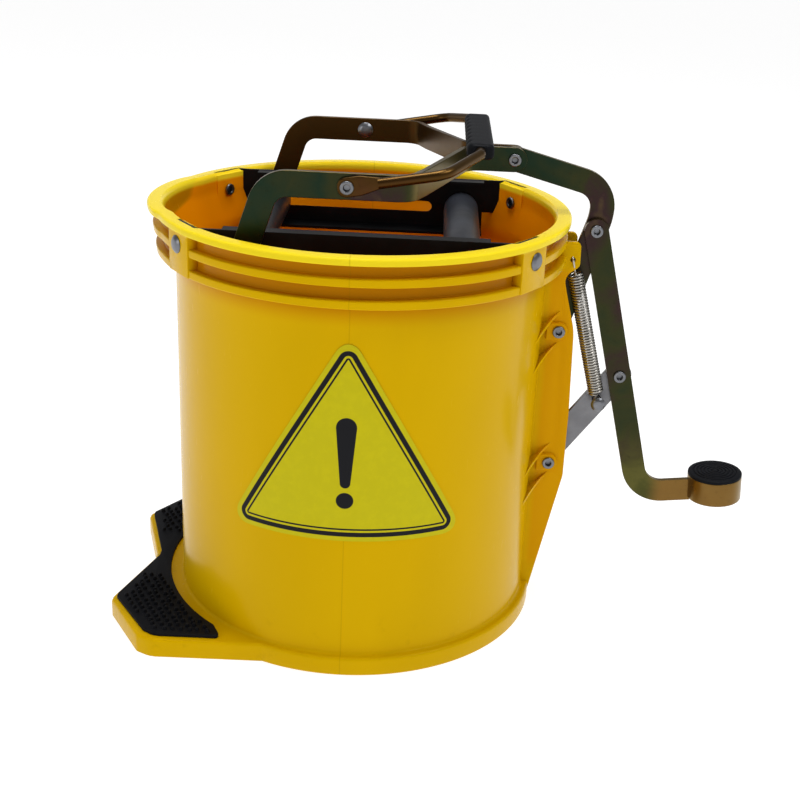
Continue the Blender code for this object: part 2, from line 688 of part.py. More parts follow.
def make_arm_fittings():
    inner, outer = ARM_Y - BAR_THICK / 2, ARM_Y + BAR_THICK / 2
    for side, label in ((-1, "front"), (1, "rear")):
        pivot_rivet(f"arm_pin_{label}", PIVOT_ROLLER, side * (inner - GAP),
                    side * (outer + GAP), tail=False)
        pivot_rivet(f"bail_rivet_{label}", PIVOT_BAIL, side * (inner - GAP),
                    side * (outer + 2 * GAP + BAIL_EYE))
    spacer = ring(3 * MM, 7 * MM, -BAR_THICK / 2, BAR_THICK / 2)
    spacer = placed(spacer, along_y(ARM_JOIN_X + 8 * MM, PIVOT_ARMS[1]))
    add_object("arm_spacer", spacer, "black_rubber")


def bail_points():
    """Centre line of the handle's rod, from the front eye round to the rear one."""
    eye = Vector((PIVOT_BAIL[0], -BAIL_Y, PIVOT_BAIL[1]))
    knee = Vector((BAIL_KNEE[0], -BAIL_Y, BAIL_KNEE[1]))
    entry = Vector((GRIP_X, -GRIP_HALF_LENGTH - 6 * MM, GRIP_Z))
    inside = Vector((GRIP_X, -GRIP_HALF_LENGTH - 1 * MM, GRIP_Z))
    half = [eye.lerp(knee, 0.22), eye.lerp(knee, 0.88), knee.lerp(entry, 0.04),
            knee.lerp(entry, 0.2), knee.lerp(entry, 0.85), inside]
    return half + [Vector((p.x, -p.y, p.z)) for p in reversed(half)]


def make_bail():
    bail = bent_wire("bail_rod", bail_points(), BAIL_WIRE, 3, "passivated_steel")
    for side in (-1, 1):
        inner = BAIL_Y - BAIL_WIRE
        near, far = sorted((side * inner, side * (inner + BAIL_EYE)))
        knee = Vector(BAIL_KNEE) - Vector(PIVOT_BAIL)
        tip = Vector(PIVOT_BAIL) + knee.normalized() * 20 * MM
        eye = bar_outline([PIVOT_BAIL, tuple(tip)], 13 * MM)
        join(bail, prism(eye, far - near, side_view(near)), "bail_eye")
        pin_hole(bail, PIVOT_BAIL, near - 5 * MM, far + 5 * MM)
    # the grip is bored for the rod, which bends only outside it
    size_x, size_z = GRIP_SIZE
    edge = 4 * MM
    across = [(sx * (size_x / 2 - dx), sz * (size_z / 2 - dz)) for sx, sz, dx, dz in
              ((1, -1, edge, 0), (1, -1, 0, edge), (1, 1, 0, edge), (1, 1, edge, 0),
               (-1, 1, edge, 0), (-1, 1, 0, edge), (-1, -1, 0, edge), (-1, -1, edge, 0))]
    shape = prism(across, 2 * GRIP_HALF_LENGTH, side_view(-GRIP_HALF_LENGTH))
    shape = placed(shape, Matrix.Translation((GRIP_X, 0, GRIP_Z)))
    grip = add_object("bail_grip", shape, "black_rubber")
    bore = rod(BAIL_WIRE + GAP, -GRIP_HALF_LENGTH - 5 * MM, GRIP_HALF_LENGTH + 5 * MM, 16)
    cut(grip, placed(bore, along_y(GRIP_X, GRIP_Z)), "grip_bore")


# ------------------------------------------------------------------- foot linkage

def make_flat_bar(name, centre, width, y_middle, finish, radii=(), round_ends=(True, True)):
    outline = bar_outline(centre, width, radii, round_ends)
    return add_object(name, prism(outline, BAR_THICK, side_view(y_middle - BAR_THICK / 2)), finish)


def make_crank():
    crank = make_flat_bar("bell_crank", [PIVOT_ARMS, *CRANK_ELBOW, PIVOT_CRANK], BAR_WIDTH, 0,
                          "passivated_steel", [20 * MM, 40 * MM])
    for pivot in (PIVOT_ARMS, PIVOT_LEVER, PIVOT_CRANK):
        pin_hole(crank, pivot, -10 * MM, 10 * MM)
    half = BAR_THICK / 2 + GAP
    pivot_rivet("crank_arm_rivet", PIVOT_ARMS, -half - BAR_THICK - GAP, half + BAR_THICK + GAP)
    pivot_rivet("crank_lever_rivet", PIVOT_LEVER, -half - BAR_THICK - GAP, half)


def make_ground_pivot(label, pivot):
    """Rivet through both spine walls, with a spacer on each side of the bar."""
    face = SPINE_INNER + SPINE_WALL + BOSS_HEIGHT + GAP
    pivot_rivet(f"{label}_pivot_rivet", pivot, -face, face)
    low, high = BAR_THICK / 2 + GAP, SPINE_INNER - GAP
    for side, place in ((-1, "front"), (1, "rear")):
        spacer = ring(RIVET_RADIUS + GAP, 7 * MM, *sorted((side * low, side * high)))
        add_object(f"{label}_spacer_{place}", placed(spacer, along_y(*pivot)), "white_nylon")


def make_strut():
    strut = make_flat_bar("strut", [PIVOT_STRUT, PIVOT_COUPLER], STRUT_WIDTH, 0, "zinc_steel")
    for pivot in (PIVOT_STRUT, PIVOT_COUPLER, SPRING_STUD):
        pin_hole(strut, pivot, -10 * MM, 10 * MM)
    head = SPRING_Y - 2.5 * MM
    pivot_rivet("spring_stud", SPRING_STUD, BAR_THICK / 2 + GAP, head, 3 * MM)


def make_lever():
    start = PEDAL_X - PEDAL_RADIUS - GAP
    end = (start, PEDAL_Z - 4 * MM)
    lever = make_flat_bar("pedal_lever", [PIVOT_LEVER, ELBOW, end], BAR_WIDTH, LEVER_Y,
                          "passivated_steel", [22 * MM], (True, False))
    for pivot in (PIVOT_LEVER, PIVOT_COUPLER):
        pin_hole(lever, pivot, -20 * MM, 10 * MM)
    # the lever and the strut share one rivet: a front half and a rear half that meet
    face = LEVER_Y - BAR_THICK / 2 - GAP
    split = LEVER_Y + BAR_THICK / 2 + GAP / 2
    pivot_rivet("lever_strut_rivet_front", PIVOT_COUPLER, face, split, dome=False)
    pivot_rivet("lever_strut_rivet_rear", PIVOT_COUPLER, split + GAP, BAR_THICK / 2 + GAP,
                tail=False)


def make_pedal():
    tilt = (Matrix.Translation((PEDAL_X, LEVER_Y, PEDAL_Z)) @ Matrix.Rotation(-PEDAL_TILT, 4, "Y")
            @ Matrix.Translation((0, 0, -PEDAL_HEIGHT / 2)))
    outer, inner = PEDAL_RADIUS, PEDAL_RADIUS - SHEET
    cup = turned([(0, 0), (outer, 0), (outer, PEDAL_HEIGHT), (inner, PEDAL_HEIGHT),
                  (inner, SHEET), (0, SHEET)], 28)
    add_object("pedal_cup", placed(cup, tilt), "passivated_steel")
    brim = PEDAL_HEIGHT + GAP
    plug = inner - GAP
    pad = turned([(0, SHEET + GAP), (plug, SHEET + GAP), (plug, brim), (outer, brim),
                  (outer, brim + 1.2 * MM), (outer - 2 * MM, brim + 2.4 * MM),
                  (0, brim + 3 * MM)], 28)
    add_object("pedal_pad", placed(pad, tilt), "black_rubber")


def spring_points():
    """Hook through the ear, close coil, and a loop round the strut's stud."""
    top = Vector((SPRING_HOLE[0], -SPINE_INNER - SPINE_WALL / 2, SPRING_HOLE[1]))
    low = Vector((SPRING_STUD[0], SPRING_Y, SPRING_STUD[1]))
    axis_top = Vector((top.x, SPRING_Y, top.z))
    down = (low - axis_top).normalized()
    across = Vector((-down.z, 0, down.x))
    hook = 4.2 * MM
    points = []
    for i in range(9):
        turn = math.radians(-90 + 22.5 * i)
        points.append(top + down * hook * (1 - math.cos(turn)) + Vector((0, hook * math.sin(turn), 0)))
    start, end = 11 * MM, (low - axis_top).length - 10 * MM
    count = SPRING_TURNS * SPRING_STEPS
    for i in range(count + 1):
        turn = 2 * math.pi * i / SPRING_STEPS
        spoke = across * math.sin(turn) + Vector((0, math.cos(turn), 0))
        points.append(axis_top + down * (start + (end - start) * i / count) + spoke * SPRING_RADIUS)
    loop = 3 * MM + SPRING_WIRE + 2 * GAP
    for i in range(13):
        turn = math.radians(-20 + 25 * i)
        points.append(low - down * loop * math.cos(turn) + across * loop * math.sin(turn))
    return points


def make_spring():
    bent_wire("return_spring", spring_points(), SPRING_WIRE, 0, "zinc_steel")


# -------------------------------------------------------------------------- build

def main():
    clear_scene()
    make_bucket()
    make_tread_mat()
    make_warning_label()
    for side, label in ((-1, "front"), (1, "rear")):
        make_frame_plate(f"{label}_frame_plate", side)
        for side_x, end in ((-1, "left"), (1, "right")):
            make_frame_rivet(f"frame_rivet_{label}_{end}", side_x, side)
    make_fixed_axle()
    make_roller("fixed_roller", FIXED_ROLLER_X, "grey_roller")
    make_sliding_axle()
    make_roller("moving_roller", MOVING_ROLLER_X, "grey_roller")
    make_arm("front_arm", -1)
    make_arm("rear_arm", 1)
    make_arm_fittings()
    make_bail()
    make_crank()
    make_ground_pivot("crank", PIVOT_CRANK)
    make_ground_pivot("strut", PIVOT_STRUT)
    make_strut()
    make_lever()
    make_pedal()
    make_spring()


main()
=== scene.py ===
"""Looks of a round mop bucket with a foot-pedal roller wringer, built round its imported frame.

Axes: +X points to the pedal, +Y to the rear, +Z up, in metres, as in the frame.
"""
import json
import math

import bmesh
import bpy
from bpy.props import FloatProperty, FloatVectorProperty, IntProperty, PointerProperty
from mathutils import Matrix, Vector


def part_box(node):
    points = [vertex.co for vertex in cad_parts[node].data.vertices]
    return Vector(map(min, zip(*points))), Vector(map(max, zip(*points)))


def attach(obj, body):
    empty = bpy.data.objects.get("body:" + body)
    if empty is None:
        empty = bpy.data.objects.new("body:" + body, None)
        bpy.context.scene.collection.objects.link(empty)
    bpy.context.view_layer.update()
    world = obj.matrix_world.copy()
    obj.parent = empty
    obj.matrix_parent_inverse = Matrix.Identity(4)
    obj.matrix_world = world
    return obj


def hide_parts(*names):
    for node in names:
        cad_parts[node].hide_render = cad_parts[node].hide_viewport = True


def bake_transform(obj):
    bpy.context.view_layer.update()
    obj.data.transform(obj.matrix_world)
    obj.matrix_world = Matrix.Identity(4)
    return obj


bl_info = {
    "name": "Mop bucket with wringer",
    "version": (1, 0, 0),
    "blender": (4, 5, 0),
    "location": "View3D > Sidebar > Mop bucket",
    "description": "Builds a mop bucket, its roller wringer and its pedal linkage",
    "category": "Object",
}

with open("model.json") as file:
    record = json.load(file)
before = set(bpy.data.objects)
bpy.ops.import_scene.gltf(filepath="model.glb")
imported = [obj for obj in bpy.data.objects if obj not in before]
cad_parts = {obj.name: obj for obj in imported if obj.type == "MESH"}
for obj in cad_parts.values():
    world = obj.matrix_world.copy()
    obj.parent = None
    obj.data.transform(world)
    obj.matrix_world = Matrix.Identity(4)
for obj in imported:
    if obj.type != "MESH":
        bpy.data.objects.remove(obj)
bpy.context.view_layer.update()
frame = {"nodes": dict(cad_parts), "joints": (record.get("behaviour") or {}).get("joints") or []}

MM = 0.001
GAP = 0.3 * MM
FINE = 1e-6                          # distance under which two points are one
WELD = 2e-6                          # the same, for CAD meshes and carved ones

# Bucket
_, RIM_RADIUS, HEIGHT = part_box("bucket")[1]
RIB_RADIUS = RIM_RADIUS - 2 * MM
RIM_BORE = RIM_RADIUS - 12 * MM
BAND_RADIUS = RIM_BORE + 3.5 * MM
BODY_RADIUS = RIM_RADIUS - 15 * MM
BODY_BORE = BODY_RADIUS - 3.5 * MM
BASE_RADIUS = BODY_RADIUS + 6 * MM
BASE_HEIGHT = 14 * MM
LIP_HEIGHT = 5 * MM
RIB_HEIGHT = 5.5 * MM
RIB_PITCH = 14.5 * MM
SPOUT_BULGE = 6 * MM
SPOUT_HALF_ANGLE = math.radians(22)

# Spine that holds the linkage
SPINE_INNER = 12 * MM
SPINE_WALL = 4 * MM
SPINE_REACH = RIM_RADIUS + 10 * MM
EAR_TOP = HEIGHT - 18 * MM
BOSS_RADIUS = 6.5 * MM
BOSS_OUT = 3.5 * MM
SPRING_EYE = Vector((RIM_RADIUS + 2.5 * MM, 0, HEIGHT - 31 * MM))

# Foot platform and its tread
TOE_REACH = RIM_RADIUS + 28 * MM
TOE_HALF_WIDTH = 122 * MM
TOE_SHIFT = -6 * MM

# Wringer frame
PLATE_Y = 94 * MM
TAB_BOTTOM = HEIGHT - 26 * MM
FLANGE_RADIUS = RIM_BORE + 3 * MM
FLANGE_END = 11 * MM
PILLAR_ANGLE = math.asin((PLATE_Y - 11.9 * MM) / FLANGE_RADIUS)
PILLAR_FACE = RIB_RADIUS
PAD_FACE = RIM_BORE - 1.5 * MM
RIVET_Z = HEIGHT - 14 * MM

# Linkage
BAR = 4 * MM
BAR_WIDTH = 17.5 * MM
STRUT_WIDTH = 19 * MM
PIN = 3.5 * MM
ARM_Y = PLATE_Y + 6 * MM
ARM_TOP_Z = HEIGHT + 34 * MM
BAIL_ROD = 3.5 * MM
BAIL_EYE = 3 * MM
GRIP_WAVE = 1.9 * MM
PEDAL_TILT = math.radians(4)
SPRING_Y = -11 * MM

# Stage
EYE = Vector((49.0, -929.9, 533.5)) * MM
AZIMUTH, PITCH, ROLL = (math.radians(angle) for angle in (1.04, 22.04, 2.53))
LENS = 58.8
FLOOR_RADIUS = 14


def pivot(joint):
    """Where a joint's axis stands, as the record gives it."""
    return Vector(next(j["pos_m"] for j in frame["joints"] if j["name"] == joint))


def middle(node):
    low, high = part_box(node)
    return (low + high) / 2


CRANK = pivot("crank_turn")
STRUT = pivot("strut_turn")
LEVER = pivot("lever_turn")
ARMS = pivot("arms_turn")
BAIL = pivot("handle_swing")
MOVING = pivot("moving_roller_spin")
COUPLER = middle("lever_strut_rivet_front")
STUD = middle("spring_stud")
LEVER_Y = -(BAR + GAP)


# ------------------------------------------------------------------------ settings

class MOPBUCKET_PG_bucket(bpy.types.PropertyGroup):
    """Sizes and colours of the moulded bucket."""
    steps: IntProperty(name="Steps round", description="Faces round the bucket", default=216,
                       min=24)
    soft_edge: FloatProperty(name="Soft edge", description="Rounding of the moulded edges",
                             default=0.9 * MM, unit="LENGTH")
    rim_edge: FloatProperty(name="Rim edge", description="Rounding of the rim's top edge",
                            default=2 * MM, unit="LENGTH")
    plastic: FloatVectorProperty(name="Plastic", description="Colour of the moulded plastic",
                                 default=(0.66, 0.395, 0.0), subtype="COLOR", min=0, max=1)
    label: FloatVectorProperty(name="Label", description="Ground colour of the label",
                               default=(0.56, 0.49, 0.0), subtype="COLOR", min=0, max=1)
    tread_pitch: FloatProperty(name="Tread pitch", description="Distance between the studs",
                               default=6.2 * MM, unit="LENGTH")


class MOPBUCKET_PG_linkage(bpy.types.PropertyGroup):
    """Sizes and colours of the metal bars, pins and spring."""
    bar_edge: FloatProperty(name="Bar edge", description="Rounding of the flat bars' edges",
                            default=0.5 * MM, unit="LENGTH")
    gold: FloatVectorProperty(name="Gold tint", description="Lightest tint of the plating",
                              default=(0.24, 0.17, 0.055), subtype="COLOR", min=0, max=1)
    olive: FloatVectorProperty(name="Olive tint", description="Main tint of the plating",
                               default=(0.032, 0.034, 0.013), subtype="COLOR", min=0, max=1)
    green: FloatVectorProperty(name="Green tint", description="Cool tint of the plating",
                               default=(0.014, 0.028, 0.016), subtype="COLOR", min=0, max=1)
    plum: FloatVectorProperty(name="Plum tint", description="Warm tint of the plating",
                              default=(0.036, 0.020, 0.020), subtype="COLOR", min=0, max=1)
    coils: IntProperty(name="Coils", description="Turns of the return spring", default=45, min=8)
    wire: FloatProperty(name="Spring wire", description="Radius of the spring's wire",
                        default=0.85 * MM, unit="LENGTH")


class MOPBUCKET_PG_rollers(bpy.types.PropertyGroup):
    """Sizes and colours of the rollers and the grip."""
    roller_edge: FloatProperty(name="Roller edge", description="Rounding of a roller's ends",
                               default=1.5 * MM, unit="LENGTH")
    roller: FloatVectorProperty(name="Roller", description="Colour of the rollers",
                                default=(0.030, 0.034, 0.045), subtype="COLOR", min=0, max=1)
    # painted shade: the moving roller's colour is a darker copy of the roller colour, for the shade
    # it sits in under the arm
    roller_in_shade: FloatVectorProperty(name="Moving roller", description="Colour of the moving roller",
                              default=(0.012, 0.0125, 0.015), subtype="COLOR", min=0, max=1)
    grip_waves: IntProperty(name="Grip waves", description="Finger ridges along the grip",
                            default=9, min=1)


# --------------------------------------------------------------------- shader maths

class Value:
    """A socket that takes part in arithmetic; each operation adds a Math node."""

    def __init__(self, finish, socket):
        self.finish, self.socket = finish, socket

    def math(self, operation, *others, first=False):
        values = [*others, self] if first else [self, *others]
        return self.finish.node("ShaderNodeMath", {"operation": operation},
                                dict(enumerate(values)))

    def __add__(self, other):
        return self.math("ADD", other)

    def __sub__(self, other):
        return self.math("SUBTRACT", other)

    def __rsub__(self, other):
        return self.math("SUBTRACT", other, first=True)

    def __mul__(self, other):
        return self.math("MULTIPLY", other)

    def __truediv__(self, other):
        return self.math("DIVIDE", other)

    __radd__ = __add__
    __rmul__ = __mul__

    def size(self):
        return self.math("ABSOLUTE")

    def band(self, low, high):
        """0 below low, 1 above high, and a soft step between them."""
        return self.finish.node("ShaderNodeMapRange", {"interpolation_type": "SMOOTHSTEP"},
                                {0: self, 1: low, 2: high})


class Finish:
    """A node material; the values that stay the same all over stand on the shader."""

    def __init__(self, name, **constants):
        self.material = bpy.data.materials.new(name)
        self.material.use_nodes = True
        self.tree = self.material.node_tree
        self.shader = self.tree.nodes["Principled BSDF"]
        for key, value in constants.items():
            socket = self.shader.inputs[key.replace("_", " ").title().replace("Ior", "IOR")]
            socket.default_value = (*value, 1) if isinstance(value, tuple) else value

    def node(self, kind, settings=None, inputs=None, output=0):
        made = self.tree.nodes.new(kind)
        for key, value in (settings or {}).items():
            if key == "stops":
                while len(made.color_ramp.elements) < len(value):
                    made.color_ramp.elements.new(0.5)
                for stop, (place, colour) in zip(made.color_ramp.elements, value):
                    stop.position, stop.color = place, (*colour, 1)
            else:
                setattr(made, key, value)
        for key, value in (inputs or {}).items():
            self.feed(made.inputs[key], value)
        return Value(self, made.outputs[output])

    def feed(self, socket, value):
        if isinstance(value, Value):
            self.tree.links.new(value.socket, socket)
        else:
            socket.default_value = value

    def drive(self, **inputs):
        for key, value in inputs.items():
            self.feed(self.shader.inputs[key.replace("_", " ").title()], value)
        return self.material

    def place(self):
        return self.node("ShaderNodeTexCoord", output="Object")

    def noise(self, scale, detail=3.0, roughness=0.55, distortion=0.0, stretch=(1, 1, 1)):
        spot = self.node("ShaderNodeMapping", None, {"Vector": self.place(), "Scale": stretch})
        return self.node("ShaderNodeTexNoise", None,
                         {"Vector": spot, "Scale": scale, "Detail": detail,
                          "Roughness": roughness, "Distortion": distortion})

    def mix(self, amount, first, second):
        """Colour between two colours or colour sockets."""
        pair = [c if isinstance(c, Value) else (*c, 1) for c in (first, second)]
        made = self.tree.nodes.new("ShaderNodeMix")
        made.data_type = "RGBA"
        for socket, value in zip((made.inputs[0], made.inputs[6], made.inputs[7]),
                                 (amount, *pair)):
            self.feed(socket, value)
        return Value(self, made.outputs[2])

    def bump(self, height, strength, distance):
        return self.node("ShaderNodeBump", None,
                         {"Height": height, "Strength": strength, "Distance": distance})

    def axes(self, vector):
        """The three numbers of a vector socket."""
        split = self.node("ShaderNodeSeparateXYZ", None, {0: vector})
        return [Value(self, out) for out in split.socket.node.outputs]


def darker(colour, share):
    return tuple(c * share for c in colour)


def moulded_plastic(name, colour):
    """Glossy moulded plastic: flow marks, a parting line, dust near the base, a painted highlight
    on the rim, and painted shade inside the bucket, in the rib gaps and on the spine's side.
    """
    make = Finish(name, specular_ior_level=0.1, specular_tint=(1.0, 0.75, 0.2))
    amber, orange = (0.44, 0.13, 0.0), (0.90, 0.27, 0.0)
    ochre, pale = (0.64, 0.26, 0.0), (0.92, 0.74, 0.02)
    x, y, z = make.axes(make.place())
    radius = (x * x + y * y).math("SQRT")
    flow = make.noise(14, 2, stretch=(1, 1, 0.35))
    grime = make.noise(60, 5, 0.65)
    scuff = make.noise(420, 3, 0.7, stretch=(1, 1, 0.12)).band(0.62, 0.72)
    low = 1 - z.band(0.0, 0.07)
    parting = 1 - x.size().band(0.15 * MM, 0.6 * MM)
    stain = grime.band(0.58, 0.8) * low * 0.35
    tone = make.mix(flow.band(0.3, 0.7), darker(colour, 0.95), colour)
    # painted shade: everything inside the bore is pushed towards orange, for the shade and the
    # light bounced between the yellow walls inside the bucket
    wall = z.band(HEIGHT - 36 * MM, HEIGHT - 18 * MM) * 7 * MM + (BODY_BORE + 2 * MM)
    inside = 1 - (radius - wall).band(-0.6 * MM, 0.6 * MM)
    # painted shade: the band between and under the rim's ribs is tinted amber
    rib_gap_shade = (1 - radius.band(BAND_RADIUS + GAP, RIB_RADIUS - 1 * MM)) * z.band(0.258, 0.277)
    tone = make.mix(rib_gap_shade * 0.75, tone, amber)
    tone = make.mix(inside * 0.85, tone, orange)
    shade = (x.band(BODY_RADIUS, BODY_RADIUS + 6 * MM) * (1 - y.size().band(48 * MM, 58 * MM))
             * z.band(20 * MM, 40 * MM) * (1 - z.band(HEIGHT - 42 * MM, HEIGHT - 36 * MM)))
    tone = make.mix(shade * 0.6, tone, ochre)
    # painted highlight: the top of the rim is lightened to pale yellow, for the light falling on it
    # from above
    rim_top_highlight = z.band(HEIGHT - LIP_HEIGHT - 2 * MM, HEIGHT - LIP_HEIGHT + 1 * MM)
    tone = make.mix(rim_top_highlight * 0.8, tone, pale)
    tone = make.mix(stain + parting * 0.25, tone, darker(colour, 0.45))
    rough = 0.17 + flow * 0.05 + scuff * 0.12 + low * grime * 0.10
    grain = make.noise(900, 2) * 0.15 + flow * 0.7 + parting * 0.5
    return make.drive(base_color=tone, roughness=rough,
                      normal=make.bump(grain, 0.12, 0.5 * MM))


def passivated_steel(name, look, warmth=0.0):
    """Yellow-chromate plating: drifting olive, green and plum tints, gold along the edges.

    The lower end of the lever and the pedal's cup are paler; warmth turns it all to bronze."""
    make = Finish(name, metallic=0.95, specular_ior_level=0.3)
    x, _, z = make.axes(make.place())
    drift = make.noise(11, 3, 0.5, 1.2, stretch=(1, 1, 0.6))
    speck = make.noise(240, 3, 0.6)
    cloud = make.noise(38, 4, 0.6, 0.6)
    gold, olive, green, plum = (tuple(c) for c in (look.gold, look.olive, look.green, look.plum))
    tints = make.node("ShaderNodeValToRGB", {"stops": [
        (0.26, darker(gold, 0.6)), (0.37, plum), (0.45, olive), (0.58, green),
        (0.70, olive), (0.80, darker(gold, 0.7))]}, {0: drift * 0.75 + cloud * 0.25})
    pale = make.mix(cloud.band(0.35, 0.65), (0.062, 0.062, 0.016), (0.10, 0.092, 0.024))
    tone = make.mix((1 - z.band(0.10, 0.15)) * 0.85, tints, pale)
    tone = make.mix(x.band(0.225, 0.24) * 0.7, tone, (0.22, 0.11, 0.028))
    _, across, _ = make.axes(make.node("ShaderNodeTexCoord", output="Normal"))
    edge = 1 - across.size().band(0.55, 0.9)
    tone = make.mix(edge * 0.55, tone, gold)
    tone = make.mix(warmth, tone, (0.075, 0.030, 0.005))
    tone = make.mix(speck.band(0.6, 0.8) * 0.3, tone, darker(olive, 0.4))
    rough = 0.20 + cloud * 0.14 + speck * 0.08
    return make.drive(base_color=tone, roughness=rough,
                      normal=make.bump(speck * 0.4 + make.noise(1500, 2) * 0.3, 0.12, 0.2 * MM))


def plain_steel(name, colour, rough, grain=300):
    """Zinc plate or bright steel with faint blotches and fine scratches."""
    make = Finish(name, metallic=1.0)
    blotch = make.noise(55, 4, 0.6)
    scratch = make.noise(grain, 4, 0.7, stretch=(1, 1, 0.08))
    tone = make.mix(blotch.band(0.35, 0.7), darker(colour, 0.78), colour)
    return make.drive(base_color=tone, roughness=rough + blotch * 0.14 + scratch * 0.08,
                      normal=make.bump(scratch, 0.15, 0.15 * MM))


def powder_coat(name):
    """Black powder coat with its fine orange peel."""
    make = Finish(name, specular_ior_level=0.14)
    peel = make.noise(700, 2, 0.5)
    dust = make.noise(30, 5, 0.6)
    tone = make.mix(dust.band(0.45, 0.75), (0.003, 0.003, 0.0035), (0.007, 0.007, 0.008))
    return make.drive(base_color=tone, roughness=0.36 + dust * 0.12,
                      normal=make.bump(peel, 0.25, 0.2 * MM))


def rubber(name):
    """Matt black rubber with dust in its grain."""
    make = Finish(name, specular_ior_level=0.1)
    colour = (0.0035, 0.004, 0.006)
    grain = make.noise(1100, 3, 0.6)
    dust = make.noise(90, 5, 0.65)
    tone = make.mix(dust.band(0.5, 0.8), colour, tuple(c * 1.7 + 0.001 for c in colour))
    return make.drive(base_color=tone, roughness=0.5 + grain * 0.15,
                      normal=make.bump(grain, 0.3, 0.2 * MM))


def roller_skin(name, colour):
    """Satin roller with faint rings of wear round it."""
    make = Finish(name, specular_ior_level=0.3)
    ring = make.noise(60, 4, 0.6, stretch=(0.15, 1, 0.15))
    smear = make.noise(35, 4, 0.6)
    tone = make.mix(ring.band(0.4, 0.7), darker(colour, 0.8), colour)
    return make.drive(base_color=tone, roughness=0.30 + smear * 0.2,
                      normal=make.bump(make.noise(800, 2), 0.1, 0.2 * MM))


def nylon(name):
    make = Finish(name, ior=1.5)
    cloud = make.noise(120, 3)
    tone = make.mix(cloud, (0.62, 0.60, 0.54), (0.74, 0.73, 0.68))
    return make.drive(base_color=tone, roughness=0.4 + cloud * 0.15,
                      normal=make.bump(make.noise(900, 2), 0.1, 0.2 * MM))


def printed_film(name, ground, inner, rounding):
    """Warning triangle: two black borders and an exclamation mark, on the film's own UV map.

    The map holds metres across and up from the triangle's middle; inner is the distance
    from that middle to the film's sides, and rounding is the radius of its corners."""
    make = Finish(name, specular_ior_level=0.12)
    across, up, _ = make.axes(make.node("ShaderNodeUVMap", {"uv_map": "film"}))
    slope = math.sqrt(3)
    half = across.size()
    # distance to the triangle through the corners' centres, folded onto its base
    base_half = slope * (inner - rounding)
    u, v = half - base_half, up + (inner - rounding)
    fold = (u + v * slope).math("GREATER_THAN", 0)
    folded_u = u + fold * ((u - v * slope) * 0.5 - u)
    folded_v = v + fold * ((u * slope + v) * -0.5 - v)
    along = folded_u - folded_u.math("MAXIMUM", -2 * base_half).math("MINIMUM", 0)
    away = (along * along + folded_v * folded_v).math("SQRT") * folded_v.math("SIGN")
    depth = rounding + away
    crisp = 0.12 * MM

    def stripe(near, far):
        return (depth.band(near - crisp, near + crisp)
                * (1 - depth.band(far - crisp, far + crisp)))

    def disc(height, radius):
        return (across * across + (up - height) * (up - height)).math("SQRT") - radius

    # the mark: a bar that narrows downwards, and a round dot below it
    high, low = 34 * MM, -7 * MM
    taper = 3.6 * MM + (up - low) * 0.085
    trunk = (half - taper).math("MAXIMUM", (up - (high + low) / 2).size() - (high - low) / 2)
    mark = trunk
    for other in (disc(high, 7 * MM), disc(low, 3.6 * MM), disc(-20 * MM, 6 * MM)):
        mark = mark.math("MINIMUM", other)
    ink = stripe(3.4 * MM, 6.8 * MM) + stripe(8.3 * MM, 9.6 * MM)
    ink = ink.math("MAXIMUM", 1 - mark.band(-crisp, crisp))
    wear = make.noise(160, 4, 0.6)
    paper = make.mix(wear.band(0.4, 0.7), darker(ground, 0.95), ground)
    tone = make.mix(ink, paper, (0.005, 0.005, 0.007))
    return make.drive(base_color=tone, roughness=0.24 + wear * 0.14,
                      normal=make.bump(make.noise(25, 2), 0.05, 0.5 * MM))


# --------------------------------------------------------------------- mesh helpers

def wire(points):
    """Flat outline in XY from (u, v) or (u, v, rounding) corners."""
    bm = bmesh.new()
    verts = [bm.verts.new((p[0], p[1], 0)) for p in points]
    for a, b in zip(verts, verts[1:] + verts[:1]):
        bm.edges.new((a, b))
    for i, point in enumerate(points):
        if len(point) < 3:
            continue
        here = Vector(point[:2])
        back = (Vector(points[i - 1][:2]) - here).normalized()
        ahead = (Vector(points[(i + 1) % len(points)][:2]) - here).normalized()
        half = back.angle(ahead) / 2
        segments = max(2, round((math.pi - 2 * half) / math.radians(15)))
        bmesh.ops.bevel(bm, geom=[verts[i]], offset=point[2] / math.tan(half),
                        offset_type="OFFSET", segments=segments, profile=0.5,
                        affect="VERTICES", material=-1)
    return bm


def moved(bm, matrix):
    bmesh.ops.transform(bm, matrix=matrix, verts=bm.verts)
    return bm


def lathe(points, steps):
    """Solid of revolution about Z from (radius, height, rounding) corners."""
    bm = moved(wire(points), Matrix.Rotation(math.pi / 2, 4, "X"))
    bmesh.ops.spin(bm, geom=bm.verts[:] + bm.edges[:], axis=(0, 0, 1), cent=(0, 0, 0),
                   angle=2 * math.pi, steps=steps, use_merge=True)
    bmesh.ops.remove_doubles(bm, verts=bm.verts, dist=FINE)
    bmesh.ops.delete(bm, geom=[e for e in bm.edges if not e.link_faces], context="EDGES")
    bmesh.ops.recalc_face_normals(bm, faces=bm.faces)
    return bm


def only(kind, geom):
    """The vertices, edges or faces among what an operator gives back."""
    return [g for g in geom if isinstance(g, kind)]


def raised(bm, depth):
    """Give a flat sheet of faces, or a closed outline, its thickness along Z."""
    if not bm.faces:
        bmesh.ops.contextual_create(bm, geom=bm.edges[:])
    side = bmesh.ops.extrude_face_region(bm, geom=bm.faces[:])
    bmesh.ops.translate(bm, verts=only(bmesh.types.BMVert, side["geom"]), vec=(0, 0, depth))
    bmesh.ops.recalc_face_normals(bm, faces=bm.faces)
    return bm


